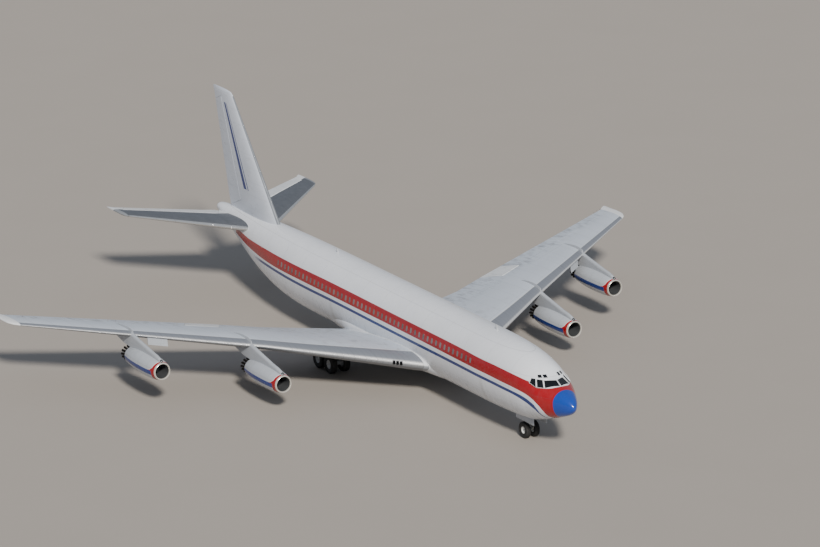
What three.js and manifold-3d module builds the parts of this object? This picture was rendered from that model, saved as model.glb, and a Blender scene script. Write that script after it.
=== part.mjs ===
// Four-engined narrow-body airliner of the early jet age, standing on its landing gear, at half size.
// The model is in millimetres: +Z up, nose towards -Y, left wing towards +X, tyres on z = 0,
// with its origin on the ground under the middle of its length.
// Every size and table here is in metres of the real aircraft: aft from the nose tip, out from the
// centre line and up from the ground. METRE turns them into the model's millimetres.

import * as THREE from 'three';
import { mergeVertices } from 'three/addons/utils/BufferGeometryUtils.js';
import Module from 'manifold-3d';

const wasm = await Module();
wasm.setup();

const METRE = 500;              // millimetres of the half-size model for one real metre
const LENGTH = 46.61;           // nose tip to the rear tips of the tailplane
const SEAT = 0.3 / METRE;       // gap between pieces that rest on each other
const RUN = 8 / METRE;          // gap round a piece that moves
const FUSE = 0.01 / METRE;      // edges shorter than this are closed up

const table = (columns, rows) => rows.map(
  (row) => Object.fromEntries(columns.map((name, index) => [name, row[index]])));

// Fuselage: double-bubble rings, round above the waist and fuller below it
const RING_POINTS = 28;
const WAIST = 0.566;            // height of the widest line, as a share of the ring's height
const LOWER_FULLNESS = 2.3;
const FUSELAGE = table(['aft', 'half', 'keel', 'crown'], [
  [0.00, 0.06, 3.04, 3.18],
  [0.12, 0.20, 2.87, 3.36],
  [0.45, 0.45, 2.62, 3.64],
  [1.00, 0.74, 2.38, 3.91],
  [1.62, 1.04, 2.16, 4.12],
  [2.30, 1.32, 1.93, 4.36],
  [3.10, 1.47, 1.67, 4.84],
  [3.90, 1.60, 1.48, 5.14],
  [5.10, 1.72, 1.38, 5.40],
  [6.50, 1.80, 1.33, 5.54],
  [8.50, 1.88, 1.30, 5.60],
  [27.00, 1.88, 1.30, 5.60],
  [31.00, 1.82, 1.32, 5.60],
  [33.00, 1.72, 1.41, 5.60],
  [35.00, 1.56, 1.64, 5.59],
  [37.00, 1.34, 2.08, 5.56],
  [39.00, 1.10, 2.75, 5.50],
  [41.00, 0.80, 3.55, 5.42],
  [43.00, 0.50, 4.32, 5.32],
  [44.00, 0.34, 4.62, 5.24],
  [44.35, 0.16, 4.82, 5.08],
]);
const FAIRING = table(['aft', 'half', 'keel', 'crown'], [
  [12.20, 1.10, 1.50, 2.60],
  [14.20, 1.58, 1.34, 2.95],
  [16.50, 1.74, 1.26, 3.05],
  [23.60, 1.74, 1.26, 3.05],
  [26.00, 1.55, 1.34, 2.90],
  [28.20, 1.05, 1.50, 2.60],
]);
const KEEL = 1.26;
const RADOME_END = 1.22;
const GLAZING = { front: 1.42, rear: 2.95, sill: 4.00, head: 4.33, skin: 0.05, half: 3 };

// Lifting surfaces: leading and trailing edge, their heights, and thickness as a share of the chord
const PLAN = ['out', 'front', 'rear', 'frontZ', 'rearZ', 'ratio'];
const WING = table(PLAN, [
  [1.00, 13.67, 24.41, 2.20, 1.90, 0.118],
  [1.88, 14.35, 24.60, 2.25, 1.95, 0.125],
  [6.90, 18.24, 25.70, 2.89, 2.61, 0.108],
  [9.30, 20.10, 26.75, 3.20, 2.92, 0.102],
  [21.10, 29.25, 31.90, 4.22, 4.22, 0.088],
  [21.46, 29.62, 32.30, 4.25, 4.25, 0.080],
  [21.66, 30.05, 32.42, 4.27, 4.27, 0.055],
  [21.705, 30.55, 32.30, 4.27, 4.27, 0.030],
]);
const TAILPLANE = table(PLAN, [
  [0.20, 37.75, 43.70, 4.80, 4.80, 0.110],
  [1.40, 38.75, 44.05, 4.90, 4.90, 0.105],
  [6.62, 43.70, 46.28, 5.36, 5.36, 0.090],
  [6.88, 44.10, 46.58, 5.38, 5.38, 0.070],
  [6.975, 44.65, 46.61, 5.39, 5.39, 0.035],
]);
const FIN = table(PLAN, [
  [4.90, 35.45, 42.55, 0, 0, 0.100],
  [5.90, 36.30, 42.85, 0, 0, 0.100],
  [12.62, 41.85, 44.55, 0, 0, 0.092],
  [12.86, 42.20, 44.66, 0, 0, 0.075],
  [12.93, 42.70, 44.60, 0, 0, 0.040],
]);
const CHORD_STEPS = [1, 0.82, 0.62, 0.42, 0.24, 0.1, 0.025, 0];
const EDGE_HALF = 0.007;        // half thickness of a trailing edge

// Control surfaces: span of the hinge line and its place as a share of the chord at both ends
const SURFACE = ['name', 'from', 'to', 'hingeIn', 'hingeOut'];
const WING_CONTROLS = table(SURFACE, [
  ['inner_aileron', 9.90, 11.70, 0.735, 0.745],
  ['outer_aileron', 15.80, 20.35, 0.745, 0.730],
]);
const FLAPS = table(SURFACE, [
  ['inner_flap', 2.60, 9.10, 0.871, 0.735],
  ['outer_flap', 12.15, 15.40, 0.735, 0.735],
]);
const SPOILERS = table(['name', 'flap', 'start', 'end', 'depth'], [
  ['inner_spoiler', 0, 1.85, 6.30, 0.85],
  ['outer_spoiler', 1, 0.15, 3.45, 0.70],
]);
const ELEVATOR = { from: 1.15, to: 6.45, hingeIn: 0.70, hingeOut: 0.66, root: 0.64 };
const RUDDER = { from: 6.10, to: 12.40, hingeIn: 0.70, hingeOut: 0.64 };
const FLAP_PIVOT = 0.024;       // flap axis inside its lower front corner
const SPOILER_PIVOT = 0.016;    // spoiler axis inside its upper front corner
const SPOILER_SKIN = 0.04;
const PIN_RADIUS = 0.016;
const NOSE_SIDES = 16;          // facets round a control surface's nose
const LIP = 0.6;                // fixed skin ends ahead of the hinge, as a share of the nose radius

// Engines: out, aft and height of the intake lip's centre
const ENGINES = table(['label', 'out', 'aft', 'height'], [
  ['inner', 10.01, 16.70, 1.89],
  ['outer', 15.70, 21.28, 2.46],
]);
const DUCT = 0.43;              // radius of the intake duct
const COWL = table(['radius', 'aft'], [
  [DUCT, 0.16], [0.49, 0.00], [0.535, 0.06], [0.605, 0.45], [0.668, 1.20], [0.68, 2.20],
  [0.615, 3.40], [0.53, 4.05], [DUCT, 4.05],
]);
const CORE = table(['radius', 'aft'], [
  [0, 0.66], [0.14, 0.98], [DUCT - SEAT, 0.98], [DUCT - SEAT, 1.40],
  [0.38, 4.15], [0.35, 4.80], [0.16, 4.80], [0, 4.98],
]);
const COWL_SIDES = 20;

// Pylon outline seen from the side, as aft and up: its nose and tail from the centre of the intake
// lip, and the part between them from the wing's leading edge
const PYLON_HALF = 0.13;
const PYLON_NOSE = [[0.70, 0.20], [0.12, 0.45], [0.12, 0.60], [0.30, 0.76], [0.70, 0.87], [1.30, 0.95]];
const PYLON_WING = [[-0.35, 0.02], [0.30, 0.16], [3.10, -0.40]];
const PYLON_TAIL = [[4.90, 0.56], [4.10, 0.40]];

// Landing gear
const TYRE_SIDES = 16;
const MAIN = { out: 3.365, aft: 23.17, radius: 0.585, width: 0.40, spread: 0.44, rim: 0.27, boss: 0.15 };
const NOSE = { out: 0, aft: 5.19, radius: 0.495, width: 0.32, spread: 0.30, rim: 0.21, boss: 0.10 };
const BOGIE_HALF = 0.71;        // from the main leg to the front or rear axle
const AXLE = 0.075;
const BORE = AXLE * 1.09;
const NOSE_COLLAR = 1.06;       // height of the joint between the steered and the fixed nose leg
const NOSE_DOOR = { ahead: 0.35, gap: 0.02, skin: 0.03, low: 1.10, high: 2.2 };
const NOSE_WELL = { half: 0.40, front: 3.55, rear: 5.95, roof: 2.15 };
const MAIN_WELL = { inner: 0.12, outer: 1.20, front: 21.90, rear: 24.20, roof: 2.05 };
const DOOR_SKIN = 0.045;

// Bars of the legs: out and aft of the leg's own line and height, at both ends
const MAIN_LEG = table(['low', 'high', 'radius'], [
  [[0, 0, MAIN.radius], [0, 0, 1.25], 0.085],                           // piston
  [[0, 0, 1.20], [0, 0, 3.00], 0.135],                                  // cylinder, up into the wing
  [[0, -BOGIE_HALF, MAIN.radius], [0, BOGIE_HALF, MAIN.radius], 0.11],  // bogie beam
  [[0, 0, 1.45], [-0.95, -0.35, 2.20], 0.06],                           // side brace
  [[0, 0, 1.45], [0.10, -1.35, 2.40], 0.06],                            // drag brace
]);
const NOSE_LEG = table(['low', 'high', 'radius'], [
  [[0, 0, NOSE_COLLAR], [0, 0, NOSE_WELL.roof - SEAT], 0.105],          // cylinder
  [[0, 0, NOSE_COLLAR], [0, 0, NOSE_COLLAR + 0.14], 0.145],             // collar
  [[0, 0, 1.30], [0, -1.39, 1.95], 0.05],                               // drag brace
]);
const NOSE_FORK = table(['low', 'high', 'radius'], [
  [[0, 0, NOSE.radius], [0, 0, NOSE_COLLAR - SEAT], 0.075],             // piston
  [[0, 0, NOSE_COLLAR - 0.10], [0, 0, NOSE_COLLAR - SEAT], 0.13],       // collar
]);
const BOSS_RADIUS = { main: 0.15, nose: 0.13 };
const TOW_LUG = { half: 0.045, ahead: 0.20, low: -0.09, high: -0.03 };

// Round jacking pads: out, aft, height of the flat face, height inside the structure
const WING_PAD = { out: 5.20, aft: 21.40, face: 2.08, root: 2.40 };
const NOSE_PAD = { out: 0, aft: 7.30, face: 1.28, root: 1.50 };
const PAD_RADIUS = 0.07;

// Paint and metal, from the photograph
function finish(color, roughness, metalness) {
  return new THREE.MeshStandardMaterial({ color, roughness, metalness });
}
const WHITE = () => finish(0xdfe3e6, 0.35, 0.1);
const GREY = () => finish(0xb9bec2, 0.45, 0.3);
const METAL = () => finish(0x8d9194, 0.35, 0.9);
const DARK_METAL = () => finish(0x35322f, 0.55, 0.8);
const BLUE = () => finish(0x2c4a7c, 0.4, 0.1);
const GLASS = () => finish(0x1a2026, 0.1, 0.2);
const RUBBER = () => finish(0x1b1b1c, 0.9, 0);

// Merge the corners, drop empty triangles and turn every face outward
function closed(geometry) {
  const bare = geometry.clone();
  bare.deleteAttribute('normal');
  bare.deleteAttribute('uv');
  const merged = mergeVertices(bare, 1e-6);
  const place = merged.attributes.position;
  const corner = (index) => new THREE.Vector3().fromBufferAttribute(place, index);
  const kept = [];
  let volume = 0;
  for (let i = 0; i < merged.index.count; i += 3) {
    const [a, b, c] = [0, 1, 2].map((step) => merged.index.getX(i + step));
    if (a === b || b === c || c === a) continue;
    kept.push([a, b, c]);
    volume += corner(a).dot(corner(b).cross(corner(c)));
  }
  const faces = volume < 0 ? kept.map(([a, b, c]) => [a, c, b]) : kept;
  merged.setIndex(faces.flat());
  return merged;
}

function solid(geometry) {
  const shape = closed(geometry);
  return new wasm.Manifold(new wasm.Mesh({
    numProp: 3,
    vertProperties: new Float32Array(shape.attributes.position.array),
    triVerts: new Uint32Array(shape.index.array),
  }));
}

const join = (...solids) => solids.reduce((sum, next) => sum.add(next));
const cut = (base, ...tools) => tools.reduce((rest, tool) => rest.subtract(tool), base);

// The largest of a cut's separate bodies
function largest(shape) {
  const parts = shape.decompose();
  return parts.reduce((best, next) => (next.volume() > best.volume() ? next : best));
}

function toGeometry(shape) {
  const mesh = shape.simplify(FUSE).getMesh();
  const geometry = new THREE.BufferGeometry();
  geometry.setAttribute('position', new THREE.BufferAttribute(new Float32Array(mesh.vertProperties), 3));
  geometry.setIndex(new THREE.BufferAttribute(new Uint32Array(mesh.triVerts), 1));
  return geometry;
}

// Skin through rings of equal point counts, with flat ends. Each facet pair is split along its
// shorter diagonal, which keeps the left and right halves of a body alike.
function loft(rings) {
  const size = rings[0].length;
  const corners = rings.flat();
  const points = corners.flatMap((p) => [p.x, p.y, p.z]);
  const faces = [];
  for (let r = 0; r + 1 < rings.length; r += 1) {
    for (let i = 0; i < size; i += 1) {
      const next = (i + 1) % size;
      const [a, b, c, d] = [r * size + i, r * size + next, (r + 1) * size + i, (r + 1) * size + next];
      const across = corners[a].distanceTo(corners[d]) < corners[b].distanceTo(corners[c]) - 1e-7;
      faces.push(...(across ? [a, c, d, a, d, b] : [a, c, b, b, c, d]));
    }
  }
  const last = (rings.length - 1) * size;
  for (let i = 0, j = size - 1; i + 1 < j; i += 1, j -= 1) {
    faces.push(i, i + 1, j, last + i, last + j, last + i + 1);
    if (i + 1 < j - 1) faces.push(i + 1, j - 1, j, last + i + 1, last + j, last + j - 1);
  }
  const geometry = new THREE.BufferGeometry();
  geometry.setAttribute('position', new THREE.Float32BufferAttribute(points, 3));
  geometry.setIndex(faces);
  return solid(geometry);
}

function block(x0, x1, y0, y1, z0, z1) {
  const geometry = new THREE.BoxGeometry(x1 - x0, y1 - y0, z1 - z0);
  geometry.translate((x0 + x1) / 2, (y0 + y1) / 2, (z0 + z1) / 2);
  return solid(geometry);
}

// Round bar between two points, tapered when the end radii differ
function bar(start, end, radius, endRadius = radius, sides = 8) {
  const along = new THREE.Vector3().subVectors(end, start);
  const geometry = new THREE.CylinderGeometry(endRadius, radius, along.length(), sides);
  const upward = new THREE.Vector3(0, 1, 0);
  geometry.applyQuaternion(new THREE.Quaternion().setFromUnitVectors(upward, along.clone().normalize()));
  const middle = new THREE.Vector3().addVectors(start, end).multiplyScalar(0.5);
  geometry.translate(middle.x, middle.y, middle.z);
  return solid(geometry);
}

// Flat plate over an outline of [aft, up] corners, with its thickness to both sides of a distance out
function plate(outline, out, half) {
  const shape = new THREE.Shape(outline.map(([y, z]) => new THREE.Vector2(y, z)));
  const geometry = new THREE.ExtrudeGeometry(shape, { depth: 2 * half, bevelEnabled: false });
  const stand = new THREE.Matrix4();
  stand.makeBasis(vector(0, 1, 0), vector(0, 0, 1), vector(1, 0, 0));
  geometry.applyMatrix4(stand);
  geometry.translate(out - half, 0, 0);
  return solid(geometry);
}

function turned(profile, sides) {
  const points = profile.map(({ radius, aft }) => new THREE.Vector2(radius, aft));
  return solid(new THREE.LatheGeometry(points, sides));
}

const vector = (x, y, z) => new THREE.Vector3(x, y, z);

// One fuselage ring, grown by a margin all round
function bodyRing({ aft, half, keel, crown }, margin) {
  const waist = THREE.MathUtils.lerp(keel, crown, WAIST);
  const ring = [];
  for (let i = 0; i < RING_POINTS; i += 1) {
    const angle = (i / RING_POINTS) * 2 * Math.PI;
    const power = Math.sin(angle) < 0 ? 2 / LOWER_FULLNESS : 1;
    const side = Math.sign(Math.cos(angle)) * Math.abs(Math.cos(angle)) ** power;
    const lift = Math.sign(Math.sin(angle)) * Math.abs(Math.sin(angle)) ** power;
    const reach = lift > 0 ? crown - waist : waist - keel;
    ring.push(vector(side * (half + margin), aft, waist + lift * (reach + margin)));
  }
  return ring;
}

const bodyLoft = (stations, margin) => loft(stations.map((station) => bodyRing(station, margin)));

// Half thickness of a symmetric aerofoil along its chord, for a thickness ratio of one fifth
const bulge = (share) => 0.2969 * Math.sqrt(share) - 0.126 * share - 0.3516 * share ** 2
  + 0.2843 * share ** 3 - 0.1036 * share ** 4;

function aerofoilRing({ out, front, rear, frontZ, rearZ, ratio }) {
  const chord = rear - front;
  const place = (share, side) => {
    const half = 5 * ratio * chord * bulge(share) + EDGE_HALF * share;
    return vector(out, front + share * chord, THREE.MathUtils.lerp(frontZ, rearZ, share) + side * half);
  };
  const under = CHORD_STEPS.slice(0, -1).reverse();
  return [...CHORD_STEPS.map((share) => place(share, 1)), ...under.map((share) => place(share, -1))];
}

// Plan, heights and thickness ratio of a lifting surface at a span
function stationAt(stations, out) {
  const next = stations.findIndex((station) => station.out >= out);
  const [a, b] = [stations[next - 1], stations[next]];
  const t = (out - a.out) / (b.out - a.out);
  return Object.fromEntries(PLAN.map((name) => [name, THREE.MathUtils.lerp(a[name], b[name], t)]));
}

// Centre and half thickness of a lifting surface at a span and a share of its chord
function surfacePoint(stations, out, share) {
  const { front, rear, frontZ, rearZ, ratio } = stationAt(stations, out);
  const chord = rear - front;
  return {
    centre: vector(out, front + share * chord, THREE.MathUtils.lerp(frontZ, rearZ, share)),
    half: 5 * ratio * chord * bulge(share) + EDGE_HALF * share,
  };
}

// Frame on a hinge line: along it, square to it towards the trailing edge, and off the surface
class HingeFrame {
  constructor(start, end) {
    this.start = start;
    this.along = new THREE.Vector3().subVectors(end, start).normalize();
    this.aft = new THREE.Vector3(0, 0, 1).cross(this.along).normalize();
    this.up = new THREE.Vector3().crossVectors(this.along, this.aft);
    this.length = start.distanceTo(end);
  }

  at(along, aft = 0, up = 0) {
    return this.start.clone().addScaledVector(this.along, along)
      .addScaledVector(this.aft, aft).addScaledVector(this.up, up);
  }

  // Box from one end margin to the other, between two lines parallel to the hinge
  band(margin, front, rear = 6, low = -2, high = 2) {
    const size = this.length + 2 * margin;
    const geometry = new THREE.BoxGeometry(size, rear - front, high - low);
    const middle = this.at(this.length / 2, (front + rear) / 2, (low + high) / 2);
    geometry.applyMatrix4(new THREE.Matrix4().makeBasis(this.along, this.aft, this.up).setPosition(middle));
    return solid(geometry);
  }

  // Round bar along the hinge, from one end margin to the other
  core(margin, radiusIn, radiusOut, sides) {
    return bar(this.at(-margin), this.at(this.length + margin), radiusIn, radiusOut, sides);
  }

  // Pins at both ends that reach the fixed walls
  pins(radius) {
    const reach = RUN - SEAT;
    const bite = 0.12;
    return [
      bar(this.at(-reach), this.at(bite), radius),
      bar(this.at(this.length - bite), this.at(this.length + reach), radius),
    ];
  }
}

// Cut a control surface with a round nose about its hinge line out of a lifting surface
function hingedSurface(whole, stations, { from, to, hingeIn, hingeOut }) {
  const inner = surfacePoint(stations, from, hingeIn);
  const outer = surfacePoint(stations, to, hingeOut);
  const frame = new HingeFrame(inner.centre, outer.centre);
  const moving = join(
    whole.intersect(frame.band(0, 0)),
    frame.core(0, inner.half, outer.half, NOSE_SIDES),
    ...frame.pins(PIN_RADIUS),
  );
  const cove = frame.core(RUN, inner.half + RUN, outer.half + RUN, NOSE_SIDES);
  return { moving, tools: [frame.band(RUN, -LIP * inner.half), cove], frame };
}

// Cut a flap that turns about an axis just inside its lower front corner
function flapSurface(whole, stations, { from, to, hingeIn, hingeOut }) {
  const [inner, outer] = [surfacePoint(stations, from, hingeIn), surfacePoint(stations, to, hingeOut)];
  const axis = [inner, outer].map(
    ({ centre, half }) => vector(centre.x, centre.y, centre.z - half + FLAP_PIVOT));
  const frame = new HingeFrame(...axis);
  const moving = join(whole.intersect(frame.band(0, -FLAP_PIVOT)), ...frame.pins(PIN_RADIUS));
  return { moving, tools: [frame.band(RUN, -2 * FLAP_PIVOT)], frame };
}

// Height of a lifting surface's upper skin over a point in plan
function skinHeight(stations, out, aft) {
  const { front, rear } = stationAt(stations, out);
  const { centre, half } = surfacePoint(stations, out, (aft - front) / (rear - front));
  return centre.z + half;
}

// Cut a spoiler panel out of the upper skin ahead of a flap, turning about its upper front corner
function spoilerPanel(whole, stations, { start, end, depth }, flapFrame) {
  const line = -2 * FLAP_PIVOT - depth + SPOILER_PIVOT;
  const axis = [start, end].map((along) => {
    const { x, y } = flapFrame.at(along, line);
    return vector(x, y, skinHeight(stations, x, y) - SPOILER_PIVOT);
  });
  const frame = new HingeFrame(...axis);
  const rear = depth - SPOILER_PIVOT;
  const slab = whole.intersect(frame.band(0, -SPOILER_PIVOT, rear));
  const panel = cut(slab, whole.translate([0, 0, -SPOILER_SKIN]));
  const room = frame.band(RUN, -SPOILER_PIVOT - RUN, rear + FLAP_PIVOT);
  const pocket = cut(room, whole.translate([0, 0, -SPOILER_SKIN - RUN]));
  return { moving: join(largest(panel), ...frame.pins(PIN_RADIUS * 0.6)), tools: [pocket], frame };
}

// The scene: one mesh per sub-part
const airliner = new THREE.Group();

function finishMesh(name, geometry, material) {
  geometry.scale(METRE, METRE, METRE);
  geometry.computeVertexNormals();
  const mesh = new THREE.Mesh(geometry, material);
  mesh.name = name;
  return mesh;
}

// A piece drawn where it lies on the aircraft; a moving one keeps its hinge line as two points
function piece(name, shape, material, mirrored = false, frame = null) {
  const geometry = toGeometry(shape);
  if (mirrored) {
    geometry.scale(-1, 1, 1);
    geometry.setIndex(new THREE.BufferAttribute(new Uint32Array(geometry.index.array).reverse(), 1));
  }
  geometry.translate(0, -LENGTH / 2, 0);
  const mesh = finishMesh(name, geometry, material);
  if (frame) {
    const side = mirrored ? -1 : 1;
    mesh.userData.hinge = [frame.at(0), frame.at(frame.length)].map(
      ({ x, y, z }) => vector(side * x * METRE, (y - LENGTH / 2) * METRE, z * METRE));
  }
  airliner.add(mesh);
}

// A piece drawn about its own centre and placed by a position in real metres
function placed(name, shape, material, [x, y, z]) {
  const mesh = finishMesh(name, toGeometry(shape), material);
  mesh.position.set(x * METRE, (y - LENGTH / 2) * METRE, z * METRE);
  airliner.add(mesh);
}

function pair(name, shape, material, frame = null) {
  piece(`${name}_left`, shape, material(), false, frame);
  piece(`${name}_right`, shape, material(), true, frame);
}

const fuselageShape = join(bodyLoft(FUSELAGE, 0), bodyLoft(FAIRING, 0));
const fuselageSpace = join(bodyLoft(FUSELAGE, SEAT), bodyLoft(FAIRING, SEAT));

const jackPad = ({ out, aft, face, root }) => bar(
  vector(out, aft, face), vector(out, aft, root), PAD_RADIUS, PAD_RADIUS, 16);

// Wings with their ailerons, flaps and spoilers
function addWings() {
  const whole = loft(WING.map(aerofoilRing));
  const moved = [];
  for (const spec of WING_CONTROLS) moved.push({ ...spec, ...hingedSurface(whole, WING, spec) });
  const flaps = FLAPS.map((spec) => ({ ...spec, ...flapSurface(whole, WING, spec) }));
  moved.push(...flaps);
  for (const spec of SPOILERS) {
    moved.push({ ...spec, ...spoilerPanel(whole, WING, spec, flaps[spec.flap].frame) });
  }
  for (const { name, moving, frame } of moved) pair(name, moving, GREY, frame);
  const fixed = cut(whole, ...moved.flatMap(({ tools }) => tools), fuselageSpace);
  const wing = largest(join(largest(fixed), jackPad(WING_PAD)));
  pair('wing', wing, GREY);
  return wing;
}

// Tailplane halves with their elevators, whose inner ends stay clear of the tail cone
function addTailplane() {
  const whole = loft(TAILPLANE.map(aerofoilRing));
  const { moving, tools, frame } = hingedSurface(whole, TAILPLANE, ELEVATOR);
  const root = block(-1, ELEVATOR.root, 36, 48, 3, 7);
  pair('elevator', largest(cut(moving, root)), WHITE, frame);
  pair('tailplane', largest(cut(whole, ...tools, fuselageSpace)), GREY);
}

// Fin and rudder, drawn as a wing along +X and then stood upright
function addFin() {
  const upright = (shape) => {
    const geometry = toGeometry(shape);
    geometry.rotateY(-Math.PI / 2);
    return solid(geometry);
  };
  const whole = loft(FIN.map(aerofoilRing));
  const { moving, tools, frame } = hingedSurface(whole, FIN, RUDDER);
  const stood = new HingeFrame(...[0, frame.length].map((along) => {
    const { x, y } = frame.at(along);
    return vector(0, y, x);
  }));
  piece('rudder', upright(moving), WHITE(), false, stood);
  piece('fin', largest(cut(upright(cut(whole, ...tools)), fuselageSpace)), WHITE());
}

// Fuselage with gear wells, radome, cockpit glazing and the belly doors
function addFuselage() {
  const well = NOSE_WELL;
  const bay = MAIN_WELL;
  const noseWell = block(-well.half, well.half, well.front, well.rear, 0, well.roof);
  const radomeSpace = block(-3, 3, -1, RADOME_END + SEAT, 0, 7);
  const { front, rear, sill, head, skin, half } = GLAZING;
  const glassBand = block(-half, half, front, rear, sill, head);
  const glassSpace = block(-half, half, front - SEAT, rear + SEAT, sill - SEAT, head + SEAT);
  const glass = cut(bodyLoft(FUSELAGE, 0).intersect(glassBand), bodyLoft(FUSELAGE, -skin));
  const glassSeat = cut(glassSpace, bodyLoft(FUSELAGE, -skin - SEAT));
  const wells = [1, -1].map((side) => {
    const [x0, x1] = [side * bay.inner, side * bay.outer].sort((a, b) => a - b);
    return block(x0 - RUN, x1 + RUN, bay.front - RUN, bay.rear + RUN, 0, bay.roof);
  });
  const body = largest(cut(fuselageShape, noseWell, radomeSpace, glassSeat, ...wells));
  piece('fuselage', join(body, jackPad(NOSE_PAD)), WHITE());
  piece('radome', fuselageShape.intersect(block(-3, 3, -1, RADOME_END, 0, 7)), BLUE());
  piece('cockpit_glazing', largest(glass), GLASS());

  const panel = cut(
    fuselageShape.intersect(block(bay.inner, bay.outer, bay.front, bay.rear, 0, bay.roof)),
    fuselageShape.translate([0, 0, DOOR_SKIN]),
  );
  const edge = [bay.front, bay.rear].map((aft) => vector(bay.inner + FLAP_PIVOT, aft, KEEL + FLAP_PIVOT));
  const frame = new HingeFrame(...edge);
  pair('main_gear_door', join(largest(panel), ...frame.pins(PIN_RADIUS)), WHITE, frame);
}

// Engine cowls, engines and the pylons that hang them from the wings
function addEngines(wing) {
  const cowl = turned([...COWL, COWL[0]], COWL_SIDES);
  const core = turned(CORE, COWL_SIDES);
  const skin = COWL.slice(1, 8).map(({ radius, aft }) => ({ radius: radius + SEAT, aft }));
  const behind = { radius: skin.at(-1).radius, aft: 5 };
  const space = turned([{ radius: 0, aft: 0 }, ...skin, behind, { radius: 0, aft: 5 }], COWL_SIDES);
  const shifts = [[0, 0, 0], [0, -SEAT, 0], [0, 0, -SEAT], [0, 0, SEAT]];
  const wingSpace = join(...shifts.map((shift) => wing.translate(shift)));
  for (const { label, out, aft, height } of ENGINES) {
    const edge = surfacePoint(WING, out, 0).centre;
    const fromLip = ([y, z]) => [aft + y, height + z];
    const fromEdge = ([y, z]) => [edge.y + y, edge.z + z];
    const side = [...PYLON_NOSE.map(fromLip), ...PYLON_WING.map(fromEdge), ...PYLON_TAIL.map(fromLip)];
    const whole = plate(side, out, PYLON_HALF);
    pair(`${label}_pylon`, largest(cut(whole, wingSpace, space.translate([out, aft, height]))), WHITE);
    for (const [hand, x] of [['left', out], ['right', -out]]) {
      placed(`${label}_cowl_${hand}`, cowl, WHITE(), [x, aft, height]);
      placed(`${label}_engine_${hand}`, core, DARK_METAL(), [x, aft, height]);
    }
  }
}

// Tyre and hub outlines about an axle along +X, with a flat facet facing the ground
function tyreShape({ radius, width, rim }) {
  const round = 1 / Math.cos(Math.PI / TYRE_SIDES);
  const profile = [
    [rim + SEAT, -width * 0.36], [radius * 0.85, -width / 2], [radius, -width * 0.27],
    [radius, width * 0.27], [radius * 0.85, width / 2], [rim + SEAT, width * 0.36],
  ].map(([r, x]) => ({ radius: r * round, aft: x }));
  const geometry = toGeometry(turned([...profile, profile[0]], TYRE_SIDES));
  geometry.rotateY(Math.PI / TYRE_SIDES);
  geometry.rotateZ(-Math.PI / 2);
  return solid(geometry);
}

// Two hubs on one axle
function hubPair({ width, spread, rim, boss }) {
  const round = 1 / Math.cos(Math.PI / TYRE_SIDES);
  const half = width * 0.36;
  const profile = [
    [0, -spread - half * 0.5], [rim * 0.55, -spread - half * 0.4], [rim, -spread - half],
    [rim, -spread + half], [AXLE * 1.6, -boss - SEAT], [AXLE, -boss - SEAT],
  ];
  const mirrored = profile.map(([r, x]) => [r, -x]).reverse();
  const outline = [...profile, ...mirrored].map(([r, x]) => ({ radius: r * round, aft: x }));
  const geometry = toGeometry(turned(outline, TYRE_SIDES));
  geometry.rotateY(Math.PI / TYRE_SIDES);
  geometry.rotateZ(-Math.PI / 2);
  return solid(geometry);
}

// Bars of a leg, from its table, and a boss or a bore across it on an axle
function legBars(bars, { out, aft }) {
  return bars.map(({ low, high, radius }) => bar(
    vector(out + low[0], aft + low[1], low[2]), vector(out + high[0], aft + high[1], high[2]), radius));
}

function across({ out, radius: height }, aft, half, radius) {
  return bar(vector(out - half, aft, height), vector(out + half, aft, height), radius, radius, TYRE_SIDES);
}

// Main legs with their bogie beams, and the wheels on the beams' axles
function addMainGear(wing) {
  const { out, aft, radius, spread, boss } = MAIN;
  const axles = [aft - BOGIE_HALF, aft + BOGIE_HALF];
  const bosses = axles.map((y) => across(MAIN, y, boss, BOSS_RADIUS.main));
  const bores = axles.map((y) => across(MAIN, y, 1, BORE));
  const wingSpace = join(wing, wing.translate([0, 0, -SEAT]));
  const bars = join(...legBars(MAIN_LEG, MAIN), ...bosses);
  pair('main_leg', largest(cut(bars, ...bores, wingSpace, fuselageSpace)), METAL);

  const tyre = tyreShape(MAIN);
  const hubs = hubPair(MAIN);
  for (const [hand, side] of [['left', 1], ['right', -1]]) {
    axles.forEach((y, index) => {
      const label = `main_${['front', 'rear'][index]}`;
      placed(`${label}_hubs_${hand}`, hubs, METAL(), [side * out, y, radius]);
      placed(`${label}_tyre_inner_${hand}`, tyre, RUBBER(), [side * (out - spread), y, radius]);
      placed(`${label}_tyre_outer_${hand}`, tyre, RUBBER(), [side * (out + spread), y, radius]);
    });
  }
}

// Nose leg, the steered fork under it, its wheels and the open doors
function addNoseGear() {
  const { aft, radius, spread, boss } = NOSE;
  piece('nose_leg', join(...legBars(NOSE_LEG, NOSE)), METAL());
  const lug = block(-TOW_LUG.half, TOW_LUG.half, aft - TOW_LUG.ahead, aft,
    NOSE_COLLAR + TOW_LUG.low, NOSE_COLLAR + TOW_LUG.high);
  const fork = join(...legBars(NOSE_FORK, NOSE), across(NOSE, aft, boss, BOSS_RADIUS.nose), lug);
  piece('nose_fork', cut(fork, across(NOSE, aft, 1, BORE)), METAL());
  placed('nose_hubs', hubPair(NOSE), WHITE(), [0, aft, radius]);
  const tyre = tyreShape(NOSE);
  placed('nose_tyre_left', tyre, RUBBER(), [spread, aft, radius]);
  placed('nose_tyre_right', tyre, RUBBER(), [-spread, aft, radius]);

  const { ahead, gap, skin, low, high } = NOSE_DOOR;
  const inside = NOSE_WELL.half + gap;
  const panel = block(inside, inside + skin, NOSE_WELL.front + ahead, NOSE_WELL.rear, low, high);
  pair('nose_gear_door', largest(cut(panel, fuselageSpace)), WHITE);
}

addFuselage();
const wing = addWings();
addTailplane();
addFin();
addEngines(wing);
addMainGear(wing);
addNoseGear();

export default airliner;
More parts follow.
